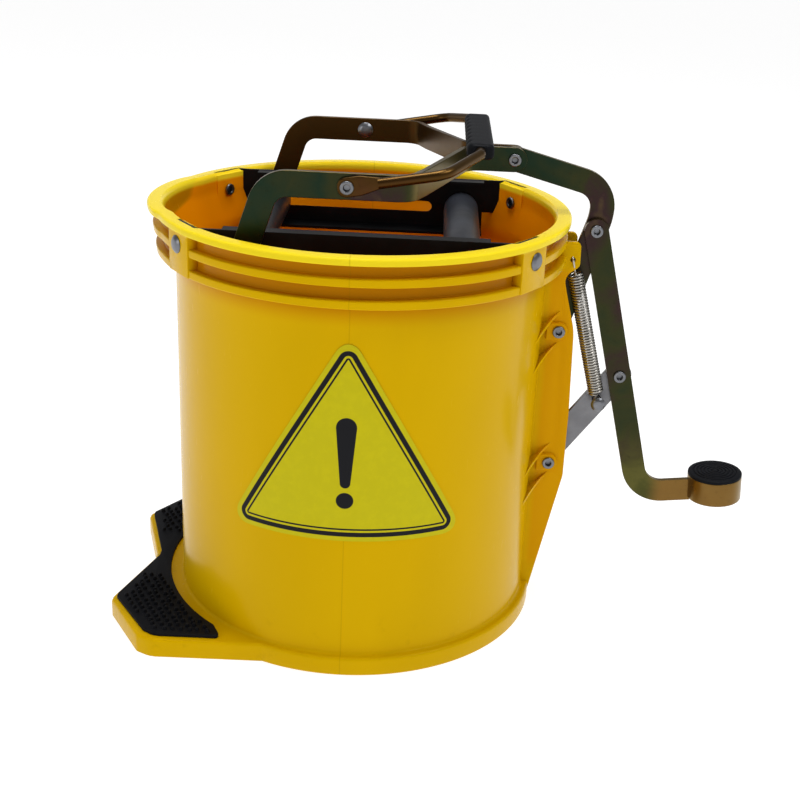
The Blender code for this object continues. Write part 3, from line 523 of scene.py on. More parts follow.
def soften(bm, width, above, segments, where=None):
    """Round every edge that turns by more than an angle, in degrees."""
    sharp = [e for e in bm.edges if len(e.link_faces) == 2
             and e.calc_face_angle(0) > math.radians(above) and (where is None or where(e))]
    bmesh.ops.bevel(bm, geom=sharp, offset=width, offset_type="OFFSET", segments=segments,
                    profile=0.5, affect="EDGES", clamp_overlap=True, material=-1)
    return bm


def side_on(y_low):
    """Puts an (x, z) outline in the XZ plane, growing towards +Y."""
    return Matrix(((1, 0, 0, 0), (0, 0, 1, y_low), (0, 1, 0, 0), (0, 0, 0, 1)))


def about_y(point):
    """Turns a shape about Z into one about a line along Y through a point."""
    return Matrix.Translation((point[0], 0, point[2])) @ Matrix.Rotation(-math.pi / 2, 4, "X")


def aim(point, direction):
    turn = Vector(direction).to_track_quat("Z", "Y").to_matrix().to_4x4()
    return Matrix.Translation(point) @ turn


def rod(radius, low, high, steps, edge=0.0):
    corner = (edge,) if edge else ()
    return lathe([(0, low), (radius, low, *corner), (radius, high, *corner), (0, high)], steps)


def gathered(*parts):
    """One bmesh from several."""
    whole = bmesh.new()
    for part in parts:
        mesh = bpy.data.meshes.new("part")
        part.to_mesh(mesh)
        part.free()
        whole.from_mesh(mesh)
        bpy.data.meshes.remove(mesh)
    return whole


def shown(name, bm, finish=None):
    """Object from a bmesh; without a finish it is only a tool for a Boolean."""
    mesh = bpy.data.meshes.new(name)
    bm.to_mesh(mesh)
    bm.free()
    obj = bpy.data.objects.new(name, mesh)
    bpy.context.scene.collection.objects.link(obj)
    if finish:
        mesh.materials.append(finish)
    return obj


def carve(obj, *steps):
    """Join or cut the object with each (operation, bmesh) in turn, and keep the result."""
    tools = []
    for number, (operation, bm) in enumerate(steps):
        tool = shown(f"{obj.name}_tool_{number}", bm)
        mod = obj.modifiers.new(tool.name, "BOOLEAN")
        mod.operation, mod.solver, mod.object = operation, "EXACT", tool
        tools.append(tool)
    graph = bpy.context.evaluated_depsgraph_get()
    result = bpy.data.meshes.new_from_object(obj.evaluated_get(graph), depsgraph=graph)
    obj.modifiers.clear()
    old, obj.data = obj.data, result
    bpy.data.meshes.remove(old)
    for tool in tools:
        mesh = tool.data
        bpy.data.objects.remove(tool)
        bpy.data.meshes.remove(mesh)
    tidy = bmesh.new()
    tidy.from_mesh(obj.data)
    bmesh.ops.remove_doubles(tidy, verts=tidy.verts, dist=WELD)
    bmesh.ops.dissolve_degenerate(tidy, edges=tidy.edges[:], dist=WELD)
    tidy.to_mesh(obj.data)
    tidy.free()
    return obj


def dressed(obj, body, nodes, edge=0.0, angle=32):
    """Smooth the piece, round its hard edges, set its body and hide the nodes it replaces."""
    obj.data.shade_smooth()
    obj.data.set_sharp_from_angle(angle=math.radians(angle))
    if edge:
        mod = obj.modifiers.new("edges", "BEVEL")
        mod.width, mod.segments, mod.limit_method = edge, 2, "ANGLE"
        mod.angle_limit = math.radians(angle)
        mod.harden_normals = True
        mod.use_clamp_overlap = True
    if body:
        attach(obj, body)
    if nodes:
        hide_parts(*nodes)
    return obj


FINISHES = {}


def finish(name):
    """The material of a slot, made once."""
    if name not in FINISHES:
        scene = bpy.context.scene
        bucket, linkage, rollers = scene.mop_bucket, scene.mop_linkage, scene.mop_rollers
        makers = {
            "yellow_plastic": lambda: moulded_plastic("yellow_plastic", tuple(bucket.plastic)),
            "passivated_steel": lambda: passivated_steel("passivated_steel", linkage),
            "bronzed_steel": lambda: passivated_steel("bronzed_steel", linkage, 0.75),
            "zinc_steel": lambda: plain_steel("zinc_steel", (0.20, 0.20, 0.21), 0.30),
            "spring_steel": lambda: plain_steel("spring_steel", (0.48, 0.46, 0.42), 0.16),
            "bright_steel": lambda: plain_steel("bright_steel", (0.20, 0.205, 0.22), 0.2, 600),
            "black_steel": lambda: powder_coat("black_steel"),
            "black_rubber": lambda: rubber("black_rubber"),
            "grey_roller": lambda: roller_skin("grey_roller", tuple(rollers.roller)),
            # painted shade: the moving roller's finish is the roller skin in its darker colour
            "roller_painted_shade": lambda: roller_skin("roller_painted_shade", tuple(rollers.roller_in_shade)),
            "white_nylon": lambda: nylon("white_nylon"),
        }
        FINISHES[name] = makers[name]()
    return FINISHES[name]


def strip(points, radii, width, ends=(True, True)):
    """Flat strip in XY of even width: its cross line is extruded along each straight run,
    spun round each corner, and spun half a turn at each round end."""
    step = math.radians(6)
    bm = bmesh.new()
    points = [Vector((*p, 0)) for p in points]
    axis = Vector((0, 0, 1))
    heading = (points[1] - points[0]).normalized()
    left = axis.cross(heading) * width / 2
    verts = [bm.verts.new(points[0] + left * k) for k in (1, 0, -1)]
    front = [bm.edges.new(verts[:2]), bm.edges.new(verts[1:])]

    def round_end(edges, centre, turn):
        outer = max(edges, key=lambda e: turn * axis.cross(heading).dot(
            sum((v.co for v in e.verts), Vector()) / 2 - centre))
        bmesh.ops.spin(bm, geom=list(outer.verts) + [outer], cent=centre, axis=axis,
                       angle=math.pi, steps=16)

    if ends[0]:
        round_end(front, points[0], 1)
    here = points[0]
    for i, point in enumerate(points[1:]):
        last = i == len(points) - 2
        turn = 0.0
        trim = 0.0
        if not last:
            ahead = (points[i + 2] - point).normalized()
            turn = math.atan2(axis.dot(heading.cross(ahead)), heading.dot(ahead))
            trim = radii[i] * math.tan(abs(turn) / 2)
        run = (point - here).dot(heading) - trim
        moved_on = bmesh.ops.extrude_edge_only(bm, edges=front)["geom"]
        bmesh.ops.translate(bm, verts=only(bmesh.types.BMVert, moved_on), vec=heading * run)
        front = only(bmesh.types.BMEdge, moved_on)
        here = here + heading * run
        if last:
            if ends[1]:
                round_end(front, point, -1)
            break
        centre = here + axis.cross(heading) * radii[i] * (1 if turn > 0 else -1)
        spun = bmesh.ops.spin(bm, geom=list({v for e in front for v in e.verts}) + front,
                              cent=centre, axis=axis, angle=turn,
                              steps=max(4, round(abs(turn) / step)))["geom_last"]
        front = only(bmesh.types.BMEdge, spun)
        here = centre + Matrix.Rotation(turn, 3, axis) @ (here - centre)
        heading = ahead
    bmesh.ops.remove_doubles(bm, verts=bm.verts, dist=FINE)
    return bm


def flat_bar(name, points, width, y_low, material, radii=(), ends=(True, True), holes=()):
    """Flat bar of the linkage, lying in the XZ plane, with its pin holes."""
    bm = moved(raised(strip(points, radii, width, ends), BAR), side_on(y_low))
    obj = shown(name, bm, material)
    drill = [moved(rod(PIN, y_low - BAR, y_low + 2 * BAR, 32), about_y(hole)) for hole in holes]
    return carve(obj, ("DIFFERENCE", gathered(*drill)))


def sweep(points, radius, sides):
    """Round wire along points, closed at both ends."""
    bm = bmesh.new()
    points = [Vector(p) for p in points]

    def heading(i):
        return (points[min(i + 1, len(points) - 1)] - points[max(i - 1, 0)]).normalized()

    start = bmesh.ops.create_circle(bm, cap_ends=True, radius=radius, segments=sides,
                                    matrix=aim(points[0], heading(0)))
    edges = list({e for v in start["verts"] for e in v.link_edges})
    for i in range(1, len(points)):
        grown = bmesh.ops.extrude_edge_only(bm, edges=edges)["geom"]
        verts, edges = only(bmesh.types.BMVert, grown), only(bmesh.types.BMEdge, grown)
        turn = heading(i - 1).rotation_difference(heading(i)).to_matrix().to_4x4()
        step = (Matrix.Translation(points[i]) @ turn @ Matrix.Translation(-points[i - 1]))
        bmesh.ops.transform(bm, matrix=step, verts=verts)
    bmesh.ops.contextual_create(bm, geom=edges)
    bmesh.ops.recalc_face_normals(bm, faces=bm.faces)
    return bm


def arc_points(centre, u, v, start, end, steps):
    """Points on an arc about a centre, in the plane of two vectors as long as its radius."""
    return [centre + u * math.cos(start + (end - start) * i / steps)
            + v * math.sin(start + (end - start) * i / steps) for i in range(steps + 1)]


def corner_point(radial, tangent, z=0.0):
    """A point by distance out along a frame pillar's middle line and across it."""
    cos_a, sin_a = math.cos(PILLAR_ANGLE), math.sin(PILLAR_ANGLE)
    return Vector((radial * cos_a + tangent * sin_a, radial * sin_a - tangent * cos_a, z))


CORNERS = [(x, y) for x in (-1, 1) for y in (-1, 1)]


def at_corner(side_x, side_y):
    return Matrix.Diagonal((side_x, side_y, 1, 1))


def mirrored(maker):
    """The shape a maker gives, once at each of the four frame corners."""
    parts = []
    for side in CORNERS:
        bm = moved(maker(), at_corner(*side))
        bmesh.ops.recalc_face_normals(bm, faces=bm.faces)
        parts.append(bm)
    return gathered(*parts)


# -------------------------------------------------------------------------- bucket

def swell_spout(bm):
    """Push the top band outwards on the side of the foot platform."""
    low = HEIGHT - 40 * MM
    for v in bm.verts:
        away = math.pi - abs(math.atan2(v.co.y, v.co.x))
        if v.co.z < low or away > SPOUT_HALF_ANGLE:
            continue
        swell = math.cos(away / SPOUT_HALF_ANGLE * math.pi / 2) ** 0.5
        rise = (v.co.z - low) / (HEIGHT - low)
        v.co += Vector((v.co.x, v.co.y, 0)).normalized() * SPOUT_BULGE * swell * rise
    return bm


def bucket_outside(steps, soft, rim_soft):
    lip = HEIGHT - LIP_HEIGHT
    corners = [(0, 0), (BASE_RADIUS, 0, 1.2 * MM), (BASE_RADIUS, BASE_HEIGHT, 2.4 * MM),
               (BODY_RADIUS, BASE_HEIGHT, 2.2 * MM)]
    for count in (2, 1):
        low = lip - count * RIB_PITCH
        inner = BODY_RADIUS if count == 2 else BAND_RADIUS
        corners += [(inner, low, soft), (RIB_RADIUS, low, soft),
                    (RIB_RADIUS, low + RIB_HEIGHT, soft), (BAND_RADIUS, low + RIB_HEIGHT, soft)]
    corners += [(BAND_RADIUS, lip, soft), (RIM_RADIUS, lip, soft), (RIM_RADIUS, HEIGHT, rim_soft),
                (0, HEIGHT)]
    return swell_spout(lathe(corners, steps))


def bucket_inside(steps, rim_soft):
    """The space inside the bucket, which flares over the rim to round its inner edge."""
    narrow = BODY_BORE - 2 * MM
    above = 3 * MM
    corners = [(0, 4 * MM), (narrow, 4 * MM, 6 * MM), (BODY_BORE, HEIGHT - 38 * MM, 30 * MM),
               (RIM_BORE, HEIGHT - 14 * MM, 20 * MM), (RIM_BORE, HEIGHT - rim_soft, 2 * rim_soft),
               (RIM_BORE + rim_soft + above, HEIGHT + above), (0, HEIGHT + above)]
    return swell_spout(lathe(corners, steps))


def foot_platform(soft):
    """Two toes joined by a neck, running into the base ring."""
    toe, reach = TOE_HALF_WIDTH, TOE_REACH
    front = [(-50 * MM, -toe), (-138 * MM, -toe - 2 * MM, 14 * MM),
             (-149 * MM, -toe + 4 * MM, 5 * MM), (-reach, -71 * MM, 2.4 * MM),
             (-reach, -66 * MM, 2.4 * MM), (-159 * MM, -4 * MM, 4 * MM)]
    rear = [(p[0], -p[1], *p[2:]) for p in reversed(front)]
    outline = [(p[0], p[1] + TOE_SHIFT, *p[2:]) for p in front + rear]
    bm = raised(wire(outline), BASE_HEIGHT)
    return soften(bm, soft, 60, 3, lambda e: min(v.co.x for v in e.verts) < -51 * MM
                  and all(v.co.z > BASE_HEIGHT / 2 for v in e.verts))


def spine_wall(side, soft):
    """One wall of the spine, from the base up to the spring's ear."""
    inside = BODY_RADIUS - 1.8 * MM
    top = RIM_BORE + 1.8 * MM
    ear = SPRING_EYE
    outline = [(inside, 1 * MM), (BASE_RADIUS - 2 * MM, 1 * MM, 2 * MM),
               (SPINE_REACH, STRUT.z - 12 * MM, 14 * MM), (SPINE_REACH, STRUT.z + 40 * MM, 60 * MM),
               (SPINE_REACH - 2 * MM, CRANK.z, 40 * MM),
               (ear.x - 2.5 * MM, ear.z - 24 * MM, 10 * MM),
               (ear.x - 5 * MM, ear.z - 13 * MM, 8 * MM),
               (ear.x + 5.5 * MM, ear.z - 5 * MM, 4.5 * MM), (ear.x + 5 * MM, EAR_TOP, 4 * MM),
               (top, EAR_TOP), (top, EAR_TOP - 12 * MM), (inside, EAR_TOP - 32 * MM)]
    low = SPINE_INNER if side > 0 else -SPINE_INNER - SPINE_WALL
    bm = moved(raised(wire(outline), SPINE_WALL), side_on(low))
    return soften(bm, soft, 60, 2, lambda e: min(v.co.x for v in e.verts) > BODY_RADIUS + 2 * MM)


def spine_boss(point, side, soft):
    """Rounded tab round a pivot rivet on the outside of the spine."""
    start, end = SPINE_INNER + 1 * MM, SPINE_INNER + SPINE_WALL + BOSS_OUT
    tab = wire([(-9 * MM, -BOSS_RADIUS), (BOSS_RADIUS, -BOSS_RADIUS, 6 * MM),
                (BOSS_RADIUS, BOSS_RADIUS, 6 * MM), (-9 * MM, BOSS_RADIUS)])
    bm = moved(raised(tab, end - start), side_on(start))
    bmesh.ops.translate(bm, verts=bm.verts, vec=(point.x, 0, point.z))
    soften(bm, soft, 60, 2, lambda e: all(v.co.y > start + 1 * MM for v in e.verts))
    if side < 0:
        moved(bm, Matrix.Diagonal((1, -1, 1, 1)))
        bmesh.ops.recalc_face_normals(bm, faces=bm.faces)
    return bm


def spine_fin(point, lift, side):
    """Thin sloping web between the bucket's wall and the spine, beside a boss."""
    face = SPINE_INNER + SPINE_WALL / 2
    root = BODY_RADIUS - 2.6 * MM
    tip = point.x + 5 * MM
    plan = [(tip, face), (root, face), (BODY_RADIUS - 9.4 * MM, 46 * MM),
            (BODY_RADIUS - 8 * MM, 45 * MM), (BODY_RADIUS - 2 * MM, 31 * MM, 60 * MM),
            (tip - 10 * MM, face + 4.5 * MM, 12 * MM)]
    bm = raised(wire([(p[0], side * p[1], *p[2:]) for p in plan]), 2.5 * MM)
    for v in bm.verts:
        v.co.z += point.z + lift + 0.9 * (v.co.x - tip)
    bmesh.ops.recalc_face_normals(bm, faces=bm.faces)
    return bm


def frame_pillar(soft):
    """Block of the rim that holds a plate's flange and its rivet."""
    wide, narrow = 16.5 * MM, 12.5 * MM
    base = HEIGHT - LIP_HEIGHT - 2 * RIB_PITCH
    plan = [corner_point(r, t)[:2] for r, t in ((PAD_FACE, -wide), (PILLAR_FACE, -wide),
                                               (PILLAR_FACE, narrow), (PAD_FACE, narrow))]
    bm = moved(raised(wire(plan), HEIGHT - 1.5 * MM - base), Matrix.Translation((0, 0, base)))
    return soften(bm, soft, 60, 2)


def flange_pocket():
    """Slot in the rim for a plate's bent end."""
    cos_a, sin_a = math.cos(PILLAR_ANGLE), math.sin(PILLAR_ANGLE)
    knee = ((FLANGE_RADIUS - PLATE_Y * sin_a) / cos_a, PLATE_Y)
    end = corner_point(FLANGE_RADIUS, FLANGE_END + GAP)
    bm = strip([(79 * MM, PLATE_Y), knee, end[:2]], [3 * MM], 2.6 * MM, (False, False))
    raised(bm, HEIGHT - TAB_BOTTOM + 10 * MM)
    return moved(bm, Matrix.Translation((0, 0, TAB_BOTTOM - GAP)))


def rivet_bore():
    return moved(rod(PIN, -20 * MM, 20 * MM, 32),
                 aim(corner_point(FLANGE_RADIUS, 0, RIVET_Z), corner_point(1, 0)))


class MOPBUCKET_OT_bucket(bpy.types.Operator):
    """Mould the bucket: ribbed shell, spout, spine, foot platform and frame pillars"""
    bl_idname = "mopbucket.bucket"
    bl_label = "Bucket"

    def execute(self, context):
        look = context.scene.mop_bucket
        soft = look.soft_edge
        outside = bucket_outside(look.steps, soft, look.rim_edge)
        bucket = shown("bucket_moulding", outside, finish("yellow_plastic"))
        sides = (-1, 1)
        spots = [(p, s) for p in (CRANK, STRUT) for s in sides]
        fins = [spine_fin(p, lift, s) for p, s in spots for lift in (17 * MM, -7 * MM)]
        reach = SPINE_INNER + SPINE_WALL + BOSS_OUT + 5 * MM
        bores = [moved(rod(r, -reach, reach, 32), about_y(p))
                 for p, r in ((CRANK, PIN), (STRUT, PIN), (SPRING_EYE, 2 * MM))]
        carve(bucket,
              ("UNION", foot_platform(2.2 * MM)),
              ("UNION", gathered(*(spine_wall(s, soft) for s in sides))),
              ("UNION", gathered(*(spine_boss(p, s, 0.8 * MM) for p, s in spots))),
              ("UNION", gathered(*fins)),
              ("DIFFERENCE", bucket_inside(look.steps, look.rim_edge)),
              ("UNION", mirrored(lambda: frame_pillar(0.7 * MM))),
              ("DIFFERENCE", mirrored(flange_pocket)),
              ("DIFFERENCE", mirrored(rivet_bore)),
              ("DIFFERENCE", gathered(*bores)))
        dressed(bucket, "bucket_frame", ["bucket"])
        return {"FINISHED"}


def within(point, corners, margin):
    """True where a point lies inside a closed outline, at least a margin from its edge."""
    inside = False
    for (ax, ay), (bx, by) in zip(corners, corners[1:] + corners[:1]):
        if (ay > point.y) != (by > point.y):
            if point.x < (bx - ax) * (point.y - ay) / (by - ay) + ax:
                inside = not inside
        a, along = Vector((ax, ay)), Vector((bx - ax, by - ay))
        share = min(max((point - a).dot(along) / along.length_squared, 0), 1)
        if (a + along * share - point).length < margin:
            return False
    return inside


class MOPBUCKET_OT_tread(bpy.types.Operator):
    """Lay the studded rubber tread over the foot platform"""
    bl_idname = "mopbucket.tread"
    bl_label = "Foot tread"

    def execute(self, context):
        low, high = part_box("tread_mat")
        toe, reach = TOE_HALF_WIDTH - 4 * MM, -low.x
        hug = BASE_RADIUS + 4 * MM
        start = math.radians(131)
        front = [(-88 * MM, -toe, 3 * MM), (-136 * MM, -toe - 1 * MM, 12 * MM),
                 (-145 * MM, -toe + 5 * MM, 5 * MM), (-reach, -70 * MM, 2 * MM),
                 (-reach, -66 * MM, 2 * MM), (-155 * MM, -4 * MM, 4 * MM)]
        rear = [(p[0], -p[1], *p[2:]) for p in reversed(front)]
        outline = [(p[0], p[1] + TOE_SHIFT, *p[2:]) for p in front + rear]
        turns = 28
        outline += [(hug * math.cos(a), hug * math.sin(a)) for a in
                    (start + (2 * math.pi - 2 * start) * i / turns for i in range(turns + 1))]
        mat = moved(raised(wire(outline), high.z - low.z), Matrix.Translation((0, 0, low.z)))
        soften(mat, 0.7 * MM, 60, 2, lambda e: all(v.co.z > high.z - FINE for v in e.verts))
        pitch = context.scene.mop_bucket.tread_pitch
        flat = [p[:2] for p in outline]
        studs = []
        rows = round(2 * TOE_HALF_WIDTH / pitch)
        for row in range(-rows, rows):
            for column in range(60):
                wander = math.sin(row * 12.9 + column * 78.2) * 0.9 * MM
                spot = Vector((-80 * MM - column * pitch - (row % 2) * pitch / 2 + wander,
                               row * pitch * 0.87 - wander * 0.8))
                if abs(spot.y - TOE_SHIFT) < 34 * MM or not within(spot, flat, 4.5 * MM):
                    continue
                stud = bmesh.new()
                bmesh.ops.create_cone(stud, cap_ends=True, segments=8, radius1=1.9 * MM,
                                      radius2=1.1 * MM, depth=2.4 * MM)
                studs.append(moved(stud, Matrix.Translation((*spot, high.z + 1.05 * MM))))
        piece = shown("foot_tread", gathered(mat, *studs), finish("black_rubber"))
        dressed(piece, "bucket_frame", ["tread_mat"], 0.25 * MM)
        return {"FINISHED"}


class MOPBUCKET_OT_label(bpy.types.Operator):
    """Wrap the warning triangle round the front of the bucket"""
    bl_idname = "mopbucket.label"
    bl_label = "Warning label"

    def execute(self, context):
        low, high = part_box("warning_label")
        seat = BODY_RADIUS + 0.15 * MM
        thick = 0.35 * MM
        half = seat * math.asin(high.x / (seat + 0.65 * MM))
        rounding = 10 * MM
        # the sides run on to sharp corners, which the rounding then takes back
        height = high.z - low.z
        tall = height + rounding
        wide = tall / math.sqrt(3)
        inner = tall / 3
        outline = [(-wide, -inner, rounding), (wide, -inner, rounding), (0, 2 * inner, rounding)]
        bm = wire(outline)
        bmesh.ops.contextual_create(bm, geom=bm.edges[:])
        strips = 72
        for i in range(1, strips):
            bmesh.ops.bisect_plane(bm, geom=bm.verts[:] + bm.edges[:] + bm.faces[:],
                                   plane_co=(half * (2 * i / strips - 1), 0, 0),
                                   plane_no=(1, 0, 0))
        raised(bm, thick)
        layer = bm.loops.layers.uv.new("film")
        for face in bm.faces:
            for loop in face.loops:
                loop[layer].uv = loop.vert.co.xy
        for v in bm.verts:
            turn = v.co.x / seat
            radius = seat + v.co.z
            v.co = Vector((radius * math.sin(turn), -radius * math.cos(turn),
                           v.co.y + low.z + inner))
        bmesh.ops.recalc_face_normals(bm, faces=bm.faces)
        film = printed_film("label_film", tuple(context.scene.mop_bucket.label), inner, rounding)
        piece = shown("warning_triangle", bm, film)
        dressed(piece, "bucket_frame", ["warning_label"])
        return {"FINISHED"}


# ------------------------------------------------------------------- wringer frame

class MOPBUCKET_OT_frame(bpy.types.Operator):
    """Round the edges of the two frame plates and coat them"""
    bl_idname = "mopbucket.frame"
    bl_label = "Frame plates"

    def execute(self, context):
        for node, web in (("front_frame_plate", -PLATE_Y), ("rear_frame_plate", PLATE_Y)):
            bm = bmesh.new()
            bm.from_mesh(frame["nodes"][node].data)
            bmesh.ops.remove_doubles(bm, verts=bm.verts, dist=WELD)
            bmesh.ops.dissolve_limit(bm, angle_limit=math.radians(0.5), verts=bm.verts,
                                     edges=bm.edges)
            piece = shown(node + "_coated", bm, finish("black_steel"))
            # meant to run the slot on behind the fixed roller; the plate stays closed there
            slot = raised(strip([(30 * MM, MOVING.z), (60 * MM, MOVING.z)], [], 8.8 * MM), 6 * MM)
            carve(piece, ("DIFFERENCE", moved(slot, side_on(web - 3 * MM))))
            dressed(piece, "bucket_frame", [node], 0.3 * MM, 25)
        return {"FINISHED"}


class MOPBUCKET_OT_rollers(bpy.types.Operator):
    """Turn the two rollers and their axles"""
    bl_idname = "mopbucket.rollers"
    bl_label = "Rollers"

    def execute(self, context):
        edge = context.scene.mop_rollers.roller_edge
        bore = 4.15 * MM
        # the moving roller gets the roller skin darkened, as painted shade
        for node, skin in (("fixed_roller", "grey_roller"), ("moving_roller", "roller_painted_shade")):
            low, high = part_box(node)
            half, radius = (high.y - low.y) / 2, (high.z - low.z) / 2
            hub, face, soft = radius - 2.5 * MM, half - 0.8 * MM, 0.4 * MM
            tube = lathe([(bore, -half), (hub, -half, soft), (hub, -face, soft),
                          (radius, -face, edge), (radius, face, edge), (hub, face, soft),
                          (hub, half, soft), (bore, half)], 72)
            piece = shown(node + "_tube", moved(tube, about_y(middle(node))), finish(skin))
            dressed(piece, node, [node])
        for node, body in (("fixed_roller_axle", "bucket_frame"), ("sliding_axle", "roller_slide")):
            low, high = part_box(node)
            axle = rod((high.z - low.z) / 2, low.y, high.y, 40, 0.6 * MM)
            piece = shown(node + "_bar", moved(axle, about_y(middle(node))), finish("zinc_steel"))
            dressed(piece, body, [node])
        return {"FINISHED"}


RINGS = [("axle_clip_front", "bucket_frame", 4.1, "zinc_steel"),
         ("axle_clip_rear", "bucket_frame", 4.1, "zinc_steel"),
         ("slide_washer_front_inner", "roller_slide", 4.1, "white_nylon"),
         ("slide_washer_front_outer", "roller_slide", 4.1, "white_nylon"),
         ("slide_washer_rear_inner", "roller_slide", 4.1, "white_nylon"),
         ("slide_washer_rear_outer", "roller_slide", 4.1, "white_nylon"),
         ("crank_spacer_front", "bucket_frame", 3.6, "white_nylon"),
         ("crank_spacer_rear", "bucket_frame", 3.6, "white_nylon"),
         ("strut_spacer_front", "bucket_frame", 3.6, "white_nylon"),
         ("strut_spacer_rear", "bucket_frame", 3.6, "white_nylon"),
         ("arm_spacer", "arms", 3.0, "black_rubber")]


class MOPBUCKET_OT_rings(bpy.types.Operator):
    """Turn the washers, spacers and axle clips"""
    bl_idname = "mopbucket.rings"
    bl_label = "Washers and spacers"

    def execute(self, context):
        for node, body, bore, slot in RINGS:
            low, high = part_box(node)
            radius = (high.z - low.z) / 2
            edge = 0.4 * MM
            ring = lathe([(bore * MM, low.y, edge / 2), (radius, low.y, edge),
                          (radius, high.y, edge), (bore * MM, high.y, edge / 2)], 48)
            piece = shown(node + "_ring", moved(ring, about_y(middle(node))), finish(slot))
            dressed(piece, body, [node])
        return {"FINISHED"}


def rivet(length, radius, head, tail=True, dome=True):
    """Domed head below z = 0, shank up to length, then a rolled hollow tail."""
    rise = 2.4 * MM
    if dome:
        corners = [(0, -rise), (head * 0.62, -rise * 0.93, 2.5 * MM), (head, -0.5 * MM, 0.3 * MM),
                   (head, 0), (radius, 0)]
    else:
        corners = [(0, 0), (radius, 0)]
    if tail:
        bore, flare, end = radius - 1.3 * MM, radius + 1.2 * MM, length + 1.6 * MM
        corners += [(radius, length), (flare, length, 0.4 * MM), (flare - 0.2 * MM, end, 0.7 * MM),
                    (bore, end, 0.6 * MM), (bore, length - 2 * MM, 0.5 * MM),
                    (0, length - 2 * MM)]
    else:
        corners += [(radius, length, 0.4 * MM), (0, length)]
    return lathe(corners, 40)


def rivet_along_y(node, place, y_tail, y_head, body, radius=PIN, **ends):
    towards = -1 if y_tail < y_head else 1
    spot = aim((place.x, y_head, place.z), (0, towards, 0))
    bm = moved(rivet(abs(y_head - y_tail), radius, radius + 2.5 * MM, **ends), spot)
    piece = shown(node + "_turned", bm, finish("bright_steel"))
    dressed(piece, body, [node], angle=50)


class MOPBUCKET_OT_rivets(bpy.types.Operator):
    """Set every rivet, with its dome and its hollow tail"""
    bl_idname = "mopbucket.rivets"
    bl_label = "Rivets"

    def execute(self, context):
        for side_x, end in ((-1, "left"), (1, "right")):
            for side_y, label in ((-1, "front"), (1, "rear")):
                node = f"frame_rivet_{label}_{end}"
                bm = rivet(PILLAR_FACE - PAD_FACE + 2 * GAP, PIN - 0.1 * MM, 6.2 * MM)
                moved(bm, at_corner(side_x, side_y)
                      @ aim(corner_point(PILLAR_FACE + 0.1 * MM, 0, RIVET_Z), -corner_point(1, 0)))
                bmesh.ops.recalc_face_normals(bm, faces=bm.faces)
                piece = shown(node + "_turned", bm, finish("bright_steel"))
                dressed(piece, "bucket_frame", [node], angle=50)
        outer = SPINE_INNER + SPINE_WALL + BOSS_OUT + GAP / 2
        inner, arm_out = ARM_Y - BAR / 2, ARM_Y + BAR / 2
        for label, place in (("crank", CRANK), ("strut", STRUT)):
            rivet_along_y(f"{label}_pivot_rivet", place, -outer, outer, "bucket_frame")
        for side, label in ((-1, "front"), (1, "rear")):
            rivet_along_y(f"arm_pin_{label}", MOVING, side * (inner - GAP), side * (arm_out + GAP),
                          "arms", tail=False)
        eye_out = arm_out + 2 * GAP + BAIL_EYE
        rivet_along_y("bail_rivet_front", BAIL, -eye_out, -inner + GAP, "arms")
        rivet_along_y("bail_rivet_rear", BAIL, eye_out, inner - GAP, "arms")
        half = BAR / 2 + GAP
        rivet_along_y("crank_arm_rivet", ARMS, -half - BAR - GAP, half + BAR + GAP, "crank")
        rivet_along_y("crank_lever_rivet", LEVER, -half - BAR - GAP, half, "crank")
        rivet_along_y("spring_stud", STUD, half, SPRING_Y - 2.5 * MM, "strut", 3 * MM)
        face, split = LEVER_Y - BAR / 2 - GAP, LEVER_Y + BAR / 2 + GAP / 2
        rivet_along_y("lever_strut_rivet_front", COUPLER, face, split, "lever", dome=False)
        rivet_along_y("lever_strut_rivet_rear", COUPLER, split + GAP, half, "strut", tail=False)
        return {"FINISHED"}


# ---------------------------------------------------------------- arms and handle

def bend_in_plan(bm, points, radii, steps):
    """Bend a straight bar that lies along X so that it follows a plan path."""
    path = [Vector(points[0])]
    for i, radius in enumerate(radii):
        corner = Vector(points[i + 1])
        back = (Vector(points[i]) - corner).normalized()
        ahead = (Vector(points[i + 2]) - corner).normalized()
        half = back.angle(ahead) / 2
        centre = corner + (back + ahead).normalized() * radius / math.sin(half)
        first = corner + back * radius / math.tan(half) - centre
        turn = (math.pi - 2 * half) * (-1 if back.x * ahead.y - back.y * ahead.x > 0 else 1)
        for k in range(steps + 1):
            spoke = first.copy()
            spoke.rotate(Matrix.Rotation(turn * k / steps, 2))
            path.append(centre + spoke)
    path.append(Vector(points[-1]))
    reach = [0.0]
    for a, b in zip(path, path[1:]):
        reach.append(reach[-1] + (b - a).length)
    start = path[0].x
    for s in reach[1:-1]:
        bmesh.ops.bisect_plane(bm, geom=bm.verts[:] + bm.edges[:] + bm.faces[:],
                               plane_co=(start + s, 0, 0), plane_no=(1, 0, 0))
    heads = [(b - a).normalized() for a, b in zip(path, path[1:])]
    for v in bm.verts:
        s = v.co.x - start
        i = min(max(sum(r <= s + FINE for r in reach) - 1, 0), len(heads) - 1)
        ahead = heads[i]
        point = path[i] + ahead * (s - reach[i])
        if 0 < i and abs(s - reach[i]) < 2 * FINE:
            ahead = (heads[i] + heads[i - 1]).normalized()
        v.co = Vector((point.x - ahead.y * v.co.y, point.y + ahead.x * v.co.y, v.co.z))
    return reach[-1]


